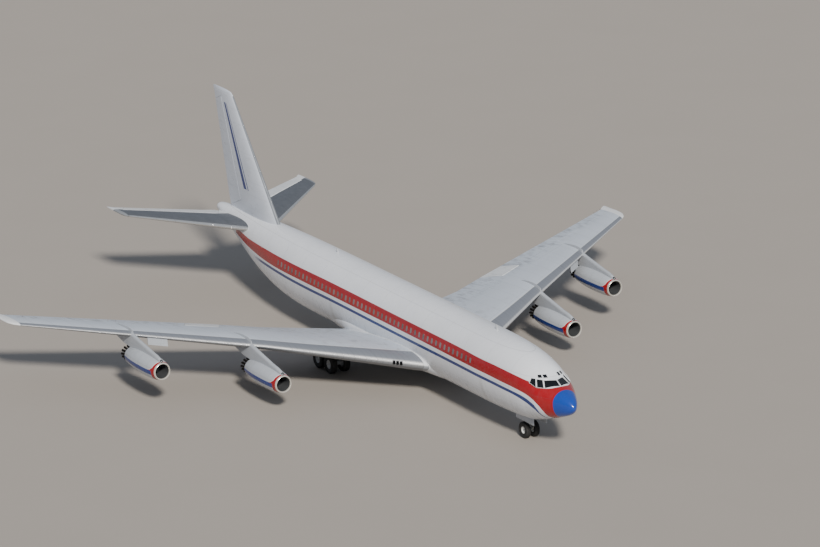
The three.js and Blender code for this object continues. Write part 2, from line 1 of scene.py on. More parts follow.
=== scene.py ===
# Four-engined narrow-body airliner of the early jet age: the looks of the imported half-size model.
# Tables and sizes are in metres of the real aircraft: out from the centre line, aft from the nose
# tip and up from the ground. placed() turns them into the model's own frame.
import math
from collections import namedtuple

import bmesh
import bpy
from mathutils import Matrix, Vector


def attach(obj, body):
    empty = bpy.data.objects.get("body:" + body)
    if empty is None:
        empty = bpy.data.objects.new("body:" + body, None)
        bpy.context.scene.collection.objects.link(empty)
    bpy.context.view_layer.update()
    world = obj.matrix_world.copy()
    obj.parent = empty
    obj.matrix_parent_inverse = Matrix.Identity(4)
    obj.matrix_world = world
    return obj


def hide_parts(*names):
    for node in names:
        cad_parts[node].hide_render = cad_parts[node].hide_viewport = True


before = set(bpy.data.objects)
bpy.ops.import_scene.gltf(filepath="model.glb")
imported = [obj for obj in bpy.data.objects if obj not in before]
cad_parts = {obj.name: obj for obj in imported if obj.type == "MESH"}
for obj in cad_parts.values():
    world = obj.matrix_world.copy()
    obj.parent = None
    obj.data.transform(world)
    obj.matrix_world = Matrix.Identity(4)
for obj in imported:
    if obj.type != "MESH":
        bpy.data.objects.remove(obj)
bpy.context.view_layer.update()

SCALE = 0.5                     # size of the model against the real aircraft
LENGTH = 46.61
MIDDLE = LENGTH / 2
RUN = 0.016                     # gap round a piece that moves
HANDS = {"left": 1, "right": -1}

Body = namedtuple("Body", "aft half keel crown")
Plan = namedtuple("Plan", "out front rear front_z rear_z ratio")
Surface = namedtuple("Surface", "name start end hinge_in hinge_out")

# Fuselage and wing fairing, as in the CAD model, with a rounded nose and tail end
WAIST = 0.566
LOWER_FULLNESS = 2.3
FUSELAGE = [Body(*row) for row in (
    (0.00, 0.001, 3.109, 3.111), (0.12, 0.20, 2.87, 3.36), (0.45, 0.45, 2.62, 3.64),
    (1.00, 0.74, 2.38, 3.91), (1.62, 1.04, 2.16, 4.12), (2.30, 1.32, 1.93, 4.36),
    (3.10, 1.47, 1.67, 4.84), (3.90, 1.60, 1.48, 5.14), (5.10, 1.72, 1.38, 5.40),
    (6.50, 1.80, 1.33, 5.54), (8.50, 1.88, 1.30, 5.60), (27.0, 1.88, 1.30, 5.60),
    (31.0, 1.82, 1.32, 5.60), (33.0, 1.72, 1.41, 5.60), (35.0, 1.56, 1.64, 5.59),
    (37.0, 1.34, 2.08, 5.56), (39.0, 1.10, 2.75, 5.50), (41.0, 0.80, 3.55, 5.42),
    (43.0, 0.50, 4.32, 5.32), (44.0, 0.34, 4.62, 5.24), (44.22, 0.26, 4.72, 5.17),
    (44.32, 0.15, 4.83, 5.07), (44.35, 0.02, 4.94, 4.97),
)]
FAIRING = [Body(*row) for row in (
    (11.9, 0.70, 1.66, 2.30), (12.2, 1.10, 1.50, 2.60), (14.2, 1.58, 1.34, 2.95),
    (16.5, 1.74, 1.26, 3.05), (23.6, 1.74, 1.26, 3.05), (26.0, 1.55, 1.34, 2.90),
    (28.2, 1.05, 1.50, 2.60), (28.6, 0.70, 1.66, 2.30),
)]
RADOME_END, RADOME_GAP = 1.22, 0.004

# Lifting surfaces, as in the CAD model; the fin lies along +X until it is stood up
WING = [Plan(*row) for row in (
    (1.00, 13.67, 24.41, 2.20, 1.90, 0.118), (1.88, 14.35, 24.60, 2.25, 1.95, 0.125),
    (6.90, 18.24, 25.70, 2.89, 2.61, 0.108), (9.30, 20.10, 26.75, 3.20, 2.92, 0.102),
    (21.10, 29.25, 31.90, 4.22, 4.22, 0.088), (21.46, 29.62, 32.30, 4.25, 4.25, 0.080),
    (21.66, 30.05, 32.42, 4.27, 4.27, 0.055), (21.705, 30.55, 32.30, 4.27, 4.27, 0.030),
)]
TAILPLANE = [Plan(*row) for row in (
    (0.20, 37.75, 43.70, 4.80, 4.80, 0.110), (1.40, 38.75, 44.05, 4.90, 4.90, 0.105),
    (6.62, 43.70, 46.28, 5.36, 5.36, 0.090), (6.88, 44.10, 46.58, 5.38, 5.38, 0.070),
    (6.975, 44.65, 46.61, 5.39, 5.39, 0.035),
)]
FIN = [Plan(*row) for row in (
    (4.90, 35.45, 42.55, 0, 0, 0.100), (5.90, 36.30, 42.85, 0, 0, 0.100),
    (12.62, 41.85, 44.55, 0, 0, 0.092), (12.86, 42.20, 44.66, 0, 0, 0.075),
    (12.93, 42.70, 44.60, 0, 0, 0.040),
)]
EDGE_HALF = 0.007               # half thickness of a trailing edge
CHORD_POINTS = 26
AILERONS = [Surface("inner_aileron", 9.90, 11.70, 0.735, 0.745),
            Surface("outer_aileron", 15.80, 20.35, 0.745, 0.730)]
FLAPS = [Surface("inner_flap", 2.60, 9.10, 0.871, 0.735),
         Surface("outer_flap", 12.15, 15.40, 0.735, 0.735)]
SPOILERS = [("inner_spoiler", 0, 1.85, 6.30, 0.85), ("outer_spoiler", 1, 0.15, 3.45, 0.70)]
ELEVATOR = Surface("elevator", 1.15, 6.45, 0.70, 0.66)
ELEVATOR_ROOT = 0.64
RUDDER = Surface("rudder", 6.10, 12.40, 0.70, 0.64)
FLAP_PIVOT = 0.024              # hinge line above the lower skin
SPOILER_PIVOT = 0.016           # hinge line below the upper skin
SPOILER_SKIN = 0.04
LIP = 0.6                       # how far the skin laps over a round nose, as a share of its radius

ENGINES = {"inner": (10.01, 16.70, 1.89), "outer": (15.70, 21.28, 2.46)}
MAIN_GEAR = {"out": 3.365, "aft": 23.17, "radius": 0.585, "width": 0.40, "spread": 0.44, "base": 1.42}
NOSE_GEAR = {"aft": 5.19, "radius": 0.495, "width": 0.32, "spread": 0.30, "collar": 1.06}
NOSE_WELL = (-0.40, 0.40, 3.55, 5.95, 0.0, 2.15)
MAIN_WELL = {"inner": 0.12, "outer": 1.20, "front": 21.90, "rear": 24.20, "roof": 2.05}
DOOR_SKIN = 0.045
PAN_THICK, PAN_INSET = 0.012, 0.06
# Row of cabin windows on each side
WINDOWS = 49
WINDOW_FIRST, WINDOW_LAST, WINDOW_UP = 8.72, 33.1, 4.07
WINDOW_PITCH = 0.508


# Small helpers for shapes

def aft_at(aft):
    """Place along the model of a distance aft of the real nose tip."""
    return (aft - MIDDLE) * SCALE


def placed(point):
    """A point of the real aircraft in the model's frame."""
    out, aft, up = point
    return Vector((out * SCALE, aft_at(aft), up * SCALE))


def tidied(mesh):
    """Merge doubles and turn every face outward."""
    work = bmesh.new()
    work.from_mesh(mesh)
    bmesh.ops.remove_doubles(work, verts=work.verts, dist=1e-6)
    bmesh.ops.recalc_face_normals(work, faces=work.faces)
    work.to_mesh(mesh)
    work.free()


def built(name, points, faces):
    """An object from corner points in real metres."""
    mesh = bpy.data.meshes.new(name)
    mesh.from_pydata([placed(point) for point in points], [], faces)
    tidied(mesh)
    return shown(name, mesh)


def shown(name, mesh):
    item = bpy.data.objects.new(name, mesh)
    bpy.context.scene.collection.objects.link(item)
    return item


def copied(item, name, matrix=None):
    mesh = item.data.copy()
    if matrix is not None:
        mesh.transform(matrix)
        tidied(mesh)
    return shown(name, mesh)


def mirrored(item, name):
    return copied(item, name, Matrix.Scale(-1, 4, (1, 0, 0)))


def lifted(item, name, height):
    """A copy moved up by a height in real metres."""
    return copied(item, name, Matrix.Translation((0, 0, height * SCALE)) if height else None)


def merged(name, *items):
    """One object from several, which are used up."""
    work = bmesh.new()
    for item in items:
        work.from_mesh(item.data)
        bpy.data.objects.remove(item)
    mesh = bpy.data.meshes.new(name)
    work.to_mesh(mesh)
    work.free()
    return shown(name, mesh)


def carved(base, *tools, operation="DIFFERENCE"):
    """Cut, join or keep a solid with tools, which are used up."""
    for tool in tools:
        step = base.modifiers.new("carve", "BOOLEAN")
        step.operation = operation
        step.solver = "MANIFOLD"
        step.object = tool
    settled(base)
    for tool in tools:
        bpy.data.objects.remove(tool)
    return base


def settled(item):
    """Turn an object's modifiers into plain mesh."""
    seen = item.evaluated_get(bpy.context.evaluated_depsgraph_get())
    mesh = bpy.data.meshes.new_from_object(seen)
    item.modifiers.clear()
    item.data = mesh
    return item


def softened(item, width, segments):
    """Round the edges of a piece."""
    bevel = item.modifiers.new("soft edges", "BEVEL")
    bevel.width = width
    bevel.segments = segments
    return settled(item)


def lofted(rings):
    """Corner points and faces of a closed skin through rings, with flat ends."""
    size = len(rings[0])
    points = [point for ring in rings for point in ring]
    faces = [
        (row * size + i, row * size + (i + 1) % size, (row + 1) * size + (i + 1) % size, (row + 1) * size + i)
        for row in range(len(rings) - 1) for i in range(size)
    ]
    faces.append(tuple(range(size)))
    faces.append(tuple(range(len(points) - size, len(points))))
    return points, faces


def block(x0, x1, y0, y1, z0, z1):
    corners = [(x, y, z) for z in (z0, z1) for x, y in ((x0, y0), (x1, y0), (x1, y1), (x0, y1))]
    return built("block", *lofted([corners[:4], corners[4:]]))


def circle(count):
    """Cosine and sine at each point round a circle."""
    angles = [2 * math.pi * i / count for i in range(count)]
    return [(math.cos(angle), math.sin(angle)) for angle in angles]


def turned(name, profile, centre, axis="Y", sides=64):
    """Turn a profile of [radius, distance along the axis] about a line through a centre."""
    rings = []
    for radius, along in profile:
        ring = []
        for cosine, sine in circle(sides):
            a, b = max(radius, 1e-4) * cosine, max(radius, 1e-4) * sine
            offset = {"X": (along, a, b), "Y": (a, along, b), "Z": (a, b, along)}[axis]
            ring.append(tuple(c + o for c, o in zip(centre, offset)))
        rings.append(ring)
    points, faces = lofted(rings)
    closed = profile[0] == profile[-1]
    return built(name, points, faces[:-2] if closed else faces)


def rod(name, start, end, radius, end_radius=None, sides=20):
    """Round rod between two points, with softened ends."""
    start, end = Vector(start), Vector(end)
    along = (end - start).normalized()
    side = along.orthogonal().normalized()
    other = along.cross(side)
    length = (end - start).length
    end_radius = radius if end_radius is None else end_radius
    soft = min(radius, end_radius, length / 2) * 0.15
    profile = ((0, radius - soft), (soft, radius), (length - soft, end_radius), (length, end_radius - soft))
    return built(name, *lofted([
        [start + along * distance + size * (cosine * side + sine * other) for cosine, sine in circle(sides)]
        for distance, size in profile]))


def cross_pin(centre, half, radius, sides=20):
    """Rod across the aircraft, of a half length about its centre."""
    out, aft, up = centre
    return rod("cross_pin", (out - half, aft, up), (out + half, aft, up), radius, sides=sides)


def hose(name, route, radius):
    """Thin tube along a route."""
    line = bpy.data.curves.new(name, "CURVE")
    line.dimensions = "3D"
    line.bevel_depth = radius * SCALE
    line.bevel_resolution = 2
    spline = line.splines.new("POLY")
    spline.points.add(len(route) - 1)
    for knot, point in zip(spline.points, route):
        knot.co = (*placed(point), 1)
    line.use_fill_caps = True
    item = shown(name, line)
    mesh = bpy.data.meshes.new_from_object(item.evaluated_get(bpy.context.evaluated_depsgraph_get()))
    bpy.data.objects.remove(item)
    return shown(name, mesh)


def eased(rows, count, param=math.sqrt):
    """Rows of a body table at finer steps, along a monotone cubic through each column."""
    knots = [param(row.aft) for row in rows]
    columns = [list(column) for column in zip(*(row[1:] for row in rows))]
    slopes = []
    for column in columns:
        steps = [(column[i + 1] - column[i]) / (knots[i + 1] - knots[i]) for i in range(len(knots) - 1)]
        slope = [steps[0]]
        for before, after in zip(steps, steps[1:]):
            slope.append(0 if before * after <= 0 else 2 * before * after / (before + after))
        slopes.append(slope + [steps[-1]])
    fine = []
    for i in range(len(knots) - 1):
        pieces = max(2, round(count * (knots[i + 1] - knots[i]) / (knots[-1] - knots[0])))
        gap = knots[i + 1] - knots[i]
        for step in range(pieces):
            t = step / pieces
            values = [
                (1 + 2 * t) * (1 - t) ** 2 * column[i] + t * (1 - t) ** 2 * gap * slope[i]
                + t * t * (3 - 2 * t) * column[i + 1] + t * t * (t - 1) * gap * slope[i + 1]
                for column, slope in zip(columns, slopes)
            ]
            aft = rows[i].aft + (rows[i + 1].aft - rows[i].aft) * (
                ((knots[i] + t * gap) ** 2 - knots[i] ** 2) / (knots[i + 1] ** 2 - knots[i] ** 2))
            fine.append(Body(aft, *values))
    return fine + [rows[-1]]


def body_ring(station, count):
    """Double-bubble ring, fuller below its waist."""
    waist = station.keel + WAIST * (station.crown - station.keel)
    ring = []
    for cosine, sine in circle(count):
        power = 2 / LOWER_FULLNESS if sine < 0 else 1
        side = math.copysign(abs(cosine) ** power, cosine)
        lift = math.copysign(abs(sine) ** power, sine)
        reach = station.crown - waist if lift > 0 else waist - station.keel
        ring.append((side * station.half, station.aft, waist + lift * reach))
    return ring


def body_loft(rows, count, steps, param=math.sqrt):
    """Closed skin through a body table, with so many points round and steps along."""
    return built("body", *lofted([body_ring(station, count) for station in eased(rows, steps, param)]))


def wing_fairing():
    return body_loft(FAIRING, 96, 60, lambda aft: aft)


def bulge(share):
    """Half thickness of a symmetric aerofoil along its chord, for a thickness ratio of one fifth."""
    return (0.2969 * math.sqrt(share) - 0.126 * share - 0.3516 * share ** 2
            + 0.2843 * share ** 3 - 0.1036 * share ** 4)


def plan_at(stations, out):
    for a, b in zip(stations, stations[1:]):
        if b.out >= out:
            t = (out - a.out) / (b.out - a.out)
            return Plan(*(p + (q - p) * t for p, q in zip(a, b)))
    return stations[-1]


def on_chord(station, share, side=0):
    """Point of a lifting surface at a share of its chord, with its half thickness."""
    chord = station.rear - station.front
    half = 5 * station.ratio * chord * bulge(share) + EDGE_HALF * share
    height = station.front_z + (station.rear_z - station.front_z) * share
    return Vector((station.out, station.front + share * chord, height + side * half)), half


def wing_edge(out):
    """Point of the wing's leading edge."""
    return on_chord(plan_at(WING, out), 0)[0]


def chord_steps(count):
    """Shares of a chord, closer together towards both of its ends."""
    return [0.5 - 0.5 * math.cos(math.pi * i / count) for i in range(count + 1)]


def surface_loft(name, stations):
    shares = chord_steps(CHORD_POINTS)
    rings = []
    for station in stations:
        upper = [on_chord(station, share, 1)[0] for share in reversed(shares)]
        rings.append(upper + [on_chord(station, share, -1)[0] for share in shares[1:]])
    return built(name, *lofted(rings))


def skin_height(stations, out, aft):
    station = plan_at(stations, out)
    share = (aft - station.front) / (station.rear - station.front)
    return on_chord(station, min(max(share, 0), 1), 1)[0].z


class HingeLine:
    """Frame on a hinge line: along it, square to it towards the trailing edge, and off the surface."""

    def __init__(self, start, end):
        self.start = start
        self.length = (end - start).length
        self.along = (end - start).normalized()
        self.aft = Vector((0, 0, 1)).cross(self.along).normalized()
        self.up = self.along.cross(self.aft)

    def at(self, along, aft=0, up=0):
        return self.start + self.along * along + self.aft * aft + self.up * up

    def band(self, margin, front, rear=6, low=-2, high=2):
        """Block along the line, past its ends by a margin."""
        ends = (-margin, self.length + margin)
        corners = ((front, low), (rear, low), (rear, high), (front, high))
        return built("band", *lofted([[self.at(end, *corner) for corner in corners] for end in ends]))

    def core(self, margin, radius_in, radius_out, sides=32):
        """Round bar along the line, past its ends by a margin."""
        ends = ((-margin, radius_in), (self.length + margin, radius_out))
        return built("core", *lofted([
            [self.at(along, radius * cosine, radius * sine) for cosine, sine in circle(sides)]
            for along, radius in ends]))


# Small helpers for materials

def linear(hex_code):
    """Linear colour from an sRGB hex value."""
    parts = [int(hex_code[i:i + 2], 16) / 255 for i in (0, 2, 4)]
    return (*(c / 12.92 if c <= 0.04045 else ((c + 0.055) / 1.055) ** 2.4 for c in parts), 1.0)


def add(tree, kind, inputs=None, **settings):
    """Add a node with its settings, values and links."""
    node = tree.nodes.new(kind)
    for name, value in settings.items():
        setattr(node, name, value)
    for key, value in (inputs or {}).items():
        if isinstance(value, (Value, bpy.types.Node, bpy.types.NodeSocket)):
            tree.links.new(Value(value).socket, node.inputs[key])
        else:
            node.inputs[key].default_value = value
    return node


def worked_out(operation):
    """Arithmetic on values and numbers, by nodes."""
    return lambda first, *rest: Value(
        add(first.tree, "ShaderNodeMath", dict(enumerate((first, *rest))), operation=operation))


class Value:
    """A number that changes over the surface, or the mask of an area, where | is either of two masks."""

    __add__, __sub__ = worked_out("ADD"), worked_out("SUBTRACT")
    __mul__, __truediv__ = worked_out("MULTIPLY"), worked_out("DIVIDE")
    __pow__, __or__ = worked_out("POWER"), worked_out("MAXIMUM")
    __abs__, __floor__ = worked_out("ABSOLUTE"), worked_out("FLOOR")

    def __init__(self, source):
        if isinstance(source, bpy.types.Node):
            source = source.outputs[0]
        self.socket = source.socket if isinstance(source, Value) else source
        self.tree = self.socket.id_data

    def ramp(self, low, high, bottom=0.0, top=1.0):
        """Value that runs from bottom to top between two limits."""
        return Value(add(self.tree, "ShaderNodeMapRange", {0: self, 1: low, 2: high, 3: bottom, 4: top}))

    def past(self, limit, soft=0.002):
        """Mask that rises from 0 to 1 as the value passes a limit."""
        return (self - limit).ramp(-soft, soft)

    def before(self, limit, soft=0.002):
        """Mask that falls from 1 to 0 as the value passes a limit."""
        return (self - limit).ramp(-soft, soft, 1.0, 0.0)

    def between(self, low, high, soft=0.002):
        return self.past(low, soft) * self.before(high, soft)

    def seams(self, pitch, width=0.012, shift=0.0):
        """Thin lines at a pitch, both in real metres."""
        wave = add(self.tree, "ShaderNodeMath", {0: self + shift * SCALE, 1: pitch * SCALE / 2},
                   operation="PINGPONG")
        return Value(wave).before(width * SCALE / 2, 0.0015)

    def curve(self, points, handles="AUTO_CLAMPED"):
        """Value along a curve through points, where both axes run from 0 to 1."""
        node = add(self.tree, "ShaderNodeFloatCurve", {"Value": self})
        knots = node.mapping.curves[0].points
        while len(knots) < len(points):
            knots.new(0.5, 0.5)
        for knot, point in zip(knots, points):
            knot.location = point
            knot.handle_type = handles
        node.mapping.update()
        return Value(node)


class Finish:
    """A material that starts from one base colour and gathers paint, dirt and relief."""

    def __init__(self, name, base, roughness, metallic=0.0, coat=0.0, coat_roughness=0.03):
        self.material = bpy.data.materials.new(name)
        self.material.use_nodes = True
        self.tree = self.material.node_tree
        self.tree.nodes.clear()
        self.shader = add(self.tree, "ShaderNodeBsdfPrincipled", {
            "Base Color": linear(base), "Roughness": roughness, "Metallic": metallic,
            "Coat Weight": coat, "Coat Roughness": coat_roughness})
        add(self.tree, "ShaderNodeOutputMaterial", {"Surface": self.shader})
        self.surface = add(self.tree, "ShaderNodeTexCoord").outputs
        self.place = self.surface["Object"]
        self.x, self.y, self.z = map(Value, add(self.tree, "ShaderNodeSeparateXYZ", {0: self.place}).outputs)
        self.colour = linear(base)
        self.gloss = roughness
        self.metal = metallic
        self.relief = None

    def noise(self, size, detail=3.0, stretch=(1, 1, 1), seed=0.0):
        """Noise of a feature size in real metres, from 0 to 1."""
        shifted = add(self.tree, "ShaderNodeMapping",
                      {0: self.place, 1: (seed, seed, seed), 3: tuple(1 / s for s in stretch)})
        return Value(add(self.tree, "ShaderNodeTexNoise",
                         {"Vector": shifted, "Scale": 1 / (size * SCALE), "Detail": detail}))

    def layer(self, mask, hex_code, gloss=None, metal=None):
        """Lay a colour over what is there, where a mask says."""
        self.colour = add(self.tree, "ShaderNodeMix", {0: mask, 6: self.colour, 7: linear(hex_code)},
                          data_type="RGBA").outputs[2]
        if gloss is not None:
            self.gloss = add(self.tree, "ShaderNodeMix", {0: mask, 2: self.gloss, 3: gloss})
        if metal is not None:
            self.metal = add(self.tree, "ShaderNodeMix", {0: mask, 2: self.metal, 3: metal})

    def mottle(self, size, amount, hex_code, **noise):
        """Cloudy change of tone."""
        self.layer(self.noise(size, **noise).ramp(0.4, 0.75, 0.0, amount), hex_code)

    def raised(self, height, depth, **settings):
        """Relief of a depth in real metres, over what relief is there."""
        below = {"Normal": self.relief} if self.relief else {}
        self.relief = add(self.tree, "ShaderNodeBump", {"Height": height, "Distance": depth * SCALE, **below},
                          **settings)

    def ripple(self, size, depth, **noise):
        """Waviness of the surface."""
        self.raised(self.noise(size, **noise), depth)

    def scored(self, lines, amount, hex_code, depth):
        """Panel lines: a little darker than the skin and sunk into it."""
        self.layer(lines * amount, hex_code)
        self.raised(lines, depth, invert=True)

    def room(self, x0, x1, y0, y1, z1):
        """Mask of the walls of a wheel well, given on one side in real metres."""
        across = abs(self.x).between(x0 * SCALE, x1 * SCALE)
        return across * self.y.between(aft_at(y0), aft_at(y1)) * self.z.before(z1 * SCALE)

    def done(self, wear=0.06, wear_size=0.6):
        """Join colour, gloss and relief to the shader, with an uneven gloss from handling and weather."""
        gloss = self.noise(wear_size, 4.0, seed=7.0).ramp(0.3, 0.8, -wear, wear) + self.gloss
        for socket, value in (("Base Color", self.colour), ("Roughness", gloss), ("Metallic", self.metal),
                              ("Normal", self.relief)):
            if isinstance(value, (Value, bpy.types.Node, bpy.types.NodeSocket)):
                self.tree.links.new(Value(value).socket, self.shader.inputs[socket])
        return self.material


# Paint lines of the fuselage, as heights along its length, in real metres
RED_TOP = ((0, 4.30), (1.20, 4.30), (1.45, 4.07), (1.9, 3.96), (2.3, 3.95), (2.6, 4.02), (2.95, 4.16),
           (3.3, 4.20), (4.1, 4.28), (5.6, 4.37), (7.7, 4.41), (10.0, 4.46), (17.0, 4.48), (26.0, 4.51),
           (31.0, 4.46), (34.5, 4.42), (37.7, 4.39), (39.5, 4.50), (46.6, 4.9))
RED_BOTTOM = ((0, 0), (1.70, 2.0), (1.76, 2.53), (2.22, 3.13), (2.6, 3.32), (3.05, 3.44), (4.0, 3.57),
              (5.4, 3.64), (7.6, 3.71), (10.0, 3.73), (17.0, 3.77), (26.0, 3.77), (30.0, 3.74), (34.3, 3.67),
              (37.7, 3.80), (40.0, 4.10), (46.6, 5.0))
BLUE_LINE = ((0, 0), (2.02, 1.9), (2.16, 2.45), (2.32, 2.74), (2.7, 2.93), (3.08, 3.06), (4.0, 3.22),
             (5.5, 3.30), (7.6, 3.36), (10.0, 3.39), (17.0, 3.41), (26.0, 3.46), (30.0, 3.43), (36.0, 3.44),
             (46.6, 3.4))
LINE_HEIGHTS = 6.0              # height that a curve's whole range stands for
# Cabin doors, overwing exits and hold doors on both sides: aft, up, width, height
DOORS = ((7.55, 3.35, 0.86, 1.83), (34.6, 3.50, 0.80, 1.60), (17.9, 3.85, 0.52, 0.98),
         (19.4, 3.85, 0.52, 0.98), (9.90, 2.05, 1.22, 0.90), (29.2, 2.05, 1.22, 0.90))
# Stations of the drain stains, aft of the forward and rear galleys
DRAINS = (7.45, 25.8)
RED = "9C0A14"
BLUE = "122F74"
# Yellow-green zinc chromate primer, flat and oily, on the walls of the wheel wells, whose bounds are
# the nearest and farthest distance out, front, rear and roof
PRIMER = "7C8060"
PRIMER_GLOSS = 0.62
REACH = RUN + 0.01
MAIN_ROOM = (MAIN_WELL["inner"] - REACH, MAIN_WELL["outer"] + REACH, MAIN_WELL["front"] - REACH,
             MAIN_WELL["rear"] + REACH, MAIN_WELL["roof"] + 0.01)
NOSE_ROOM = (-1.0, NOSE_WELL[1] + 0.01, NOSE_WELL[2] - 0.01, NOSE_WELL[3] + 0.01, NOSE_WELL[5] + 0.01)


def paint_line(paint, points):
    """Height of a paint line in the model's metres, as a curve over the length."""
    along = paint.y.ramp(-MIDDLE * SCALE, MIDDLE * SCALE)
    return along.curve([(aft / LENGTH, up / LINE_HEIGHTS) for aft, up in points]) * (LINE_HEIGHTS * SCALE)


def door_outline(paint, aft, up, width, height):
    """Thin line round a door, on both sides of the body."""
    across = abs(paint.y - aft_at(aft)) - width / 2 * SCALE
    along = abs(paint.z - up * SCALE) - height / 2 * SCALE
    edge = Value(add(paint.tree, "ShaderNodeMath", {0: across, 1: along, 2: 0.05}, operation="SMOOTH_MAX"))
    return abs(edge).before(0.006 * SCALE)


# Polyurethane enamel sprayed on riveted aluminium skin: glossy, a little chalky on top, faint lap
# joints each 2.5 m, three colours with crisp edges, and grey streaks that darken it more towards the bottom
def fuselage_paint(name, wells):
    paint = Finish(name, "E6EAF1", 0.30, coat=0.25, coat_roughness=0.15)
    paint.mottle(1.6, 0.16, "CBD1DA")
    low = paint.z.ramp(1.25 * SCALE, 3.0 * SCALE, 0.55, 0.0)
    streaks = paint.noise(0.5, 5.0, stretch=(1, 0.5, 4.0), seed=2.0).ramp(0.35, 0.75, 0.25, 1.0)
    paint.layer(low * streaks, "9EA2A4")
    for aft in DRAINS:
        run = paint.y.between(aft_at(aft), aft_at(aft + 0.35), 0.06)
        paint.layer(run * paint.z.between(1.6 * SCALE, 3.3 * SCALE, 0.2) * 0.22, "8A8578")
    red = paint.z.between(paint_line(paint, RED_BOTTOM), paint_line(paint, RED_TOP))
    paint.layer(red * paint.y.before(aft_at(40.4), 0.02), RED, gloss=0.26)
    offset = abs(paint.z - paint_line(paint, BLUE_LINE))
    half = paint.y.ramp(aft_at(2.0), aft_at(4.2), 0.17 * SCALE, 0.095 * SCALE)
    ends = paint.y.ramp(aft_at(36.0), aft_at(37.3), 1.0, 0.0) * paint.y.past(aft_at(2.0), 0.01)
    paint.layer(offset.before(half, 0.003) * ends, BLUE, gloss=0.26)
    paint.mottle(0.35, 0.05, "8C9094", detail=6.0, seed=5.0)
    lines = paint.y.seams(2.54, 0.014, shift=0.9) | paint.z.seams(0.92, 0.012, shift=0.18)
    for door in DOORS:
        lines = lines | door_outline(paint, *door)
    paint.scored(lines, 0.30, "5B5F64", 0.003)
    paint.ripple(0.9, 0.004, detail=1.0)
    for well in wells:
        paint.layer(paint.room(*well), PRIMER, gloss=PRIMER_GLOSS)
    return paint.done()


# Gloss blue coat on the moulded glass-fibre nose shell: smooth, with faint scuffs from rain, and the
# body's red lapping over its rear edge
def radome_paint():
    paint = Finish("blue_coat_on_glass_fibre", "123FA0", 0.24, coat=0.4, coat_roughness=0.08)
    paint.mottle(0.5, 0.25, "0F3180")
    paint.mottle(0.12, 0.08, "4469B4", detail=6.0, seed=3.0)
    paint.layer(paint.y.past(aft_at(1.11), 0.006), RED)
    paint.ripple(0.5, 0.002)
    return paint.done(0.04)


def edge_line(out, low, high, side):
    """Front or rear edge of a surface, straight between two of its stations."""
    slope = (getattr(high, side) - getattr(low, side)) / (high.out - low.out)
    return out * slope + (aft_at(getattr(low, side)) - slope * low.out * SCALE)


def chord_share(paint, out, root, tip, kink=None):
    """Share of the chord on a swept surface, from straight edges in plan."""
    front = edge_line(out, root, tip, "front")
    rear = edge_line(out, kink or root, tip, "rear")
    if kink:
        rear = rear | edge_line(out, root, kink, "rear")
    return (paint.y - front) / (rear - front)


# Light grey enamel on the wing's machined aluminium skins: semi-gloss, panels of slightly different
# age, a dull metal leading edge with a polished front brightened further as a painted highlight, soot
# and oil behind the spoilers, walked-on grime at the root, a white tip and a grey underside darkened as
# painted shade
def wing_skin():
    paint = Finish("grey_enamel_on_wing_skin", "C6CFDB", 0.36, coat=0.1, coat_roughness=0.3)
    span = abs(paint.x)
    share = chord_share(paint, span, WING[1], WING[4], kink=WING[3])
    paint.mottle(1.2, 0.30, "B1B9C5", stretch=(1.5, 3.0, 1))
    panel = add(paint.tree, "ShaderNodeCombineXYZ", {0: math.floor(span / 1.15), 1: math.floor(share * 4.2)})
    age = Value(add(paint.tree, "ShaderNodeTexWhiteNoise", {"Vector": panel}, noise_dimensions="3D"))
    paint.layer(age * 0.16, "AEB6C1")
    soot = paint.noise(0.22, 6.0, stretch=(1, 6.0, 1), seed=4.0).ramp(0.48, 0.78, 0.0, 0.75)
    paint.layer(soot * share.past(0.66, 0.10), "6F7276")
    spots = paint.noise(0.35, 6.0, stretch=(1.5, 2.5, 1), seed=9.0).ramp(0.56, 0.80, 0.0, 0.75)
    paint.layer(spots * span.ramp(2.5 * SCALE, 8.5 * SCALE, 1.0, 0.0), "5E5A50")
    tip = span.past(21.15 * SCALE, 0.006)
    inboard = span.before(21.15 * SCALE, 0.006)
    depth = span.ramp(1.9 * SCALE, 9.0 * SCALE, 0.152, 0.128)
    front = share.before(depth)
    paint.layer(front, "D5DAE0")
    metal = front * inboard * span.past(1.84 * SCALE, 0.01)
    paint.layer(metal, "9297A0", gloss=0.36, metal=0.45)
    # Painted highlight: a bright line along the very front of the metal strip, over the polish the metal has
    paint.layer(metal * share.before(0.012, 0.006), "DADCDE", gloss=0.30, metal=0.45)
    paint.layer((share - depth).between(-0.006, 0.006) * inboard, "DCE0E3")
    # Painted shade: skin that faces down is laid over with a darker grey, on top of the real grey of the
    # underside
    upward = Value(add(paint.tree, "ShaderNodeSeparateXYZ", {0: paint.surface["Normal"]}).outputs["Z"])
    paint.layer(upward.before(0.02, 0.08) * 0.8, "767C84")
    paint.layer(tip, "E3E6E9")
    spars = share.between(0.170, 0.1725, 0.0008) | share.between(0.648, 0.6505, 0.0008)
    lines = span.seams(1.02, 0.016) * inboard | spars | span.seams(0.27, 0.02) * metal
    paint.scored(lines, 0.32, "62666B", 0.003)
    paint.ripple(0.7, 0.003, detail=1.0)
    paint.layer(paint.room(*MAIN_ROOM), PRIMER, gloss=PRIMER_GLOSS)
    return paint.done()


# White enamel on thin control-surface skins, with chordwise stiffener lines
def white_surface():
    paint = Finish("white_enamel_on_control_surface", "DEE2E6", 0.34, coat=0.15)
    paint.mottle(0.8, 0.20, "C2C8CE")
    paint.scored(abs(paint.x).seams(0.45, 0.014), 0.22, "6E7276", 0.002)
    paint.layer(paint.noise(0.2, 6.0, stretch=(1, 5.0, 1), seed=4.0).ramp(0.55, 0.80, 0.0, 0.45), "7C7F82")
    return paint.done()
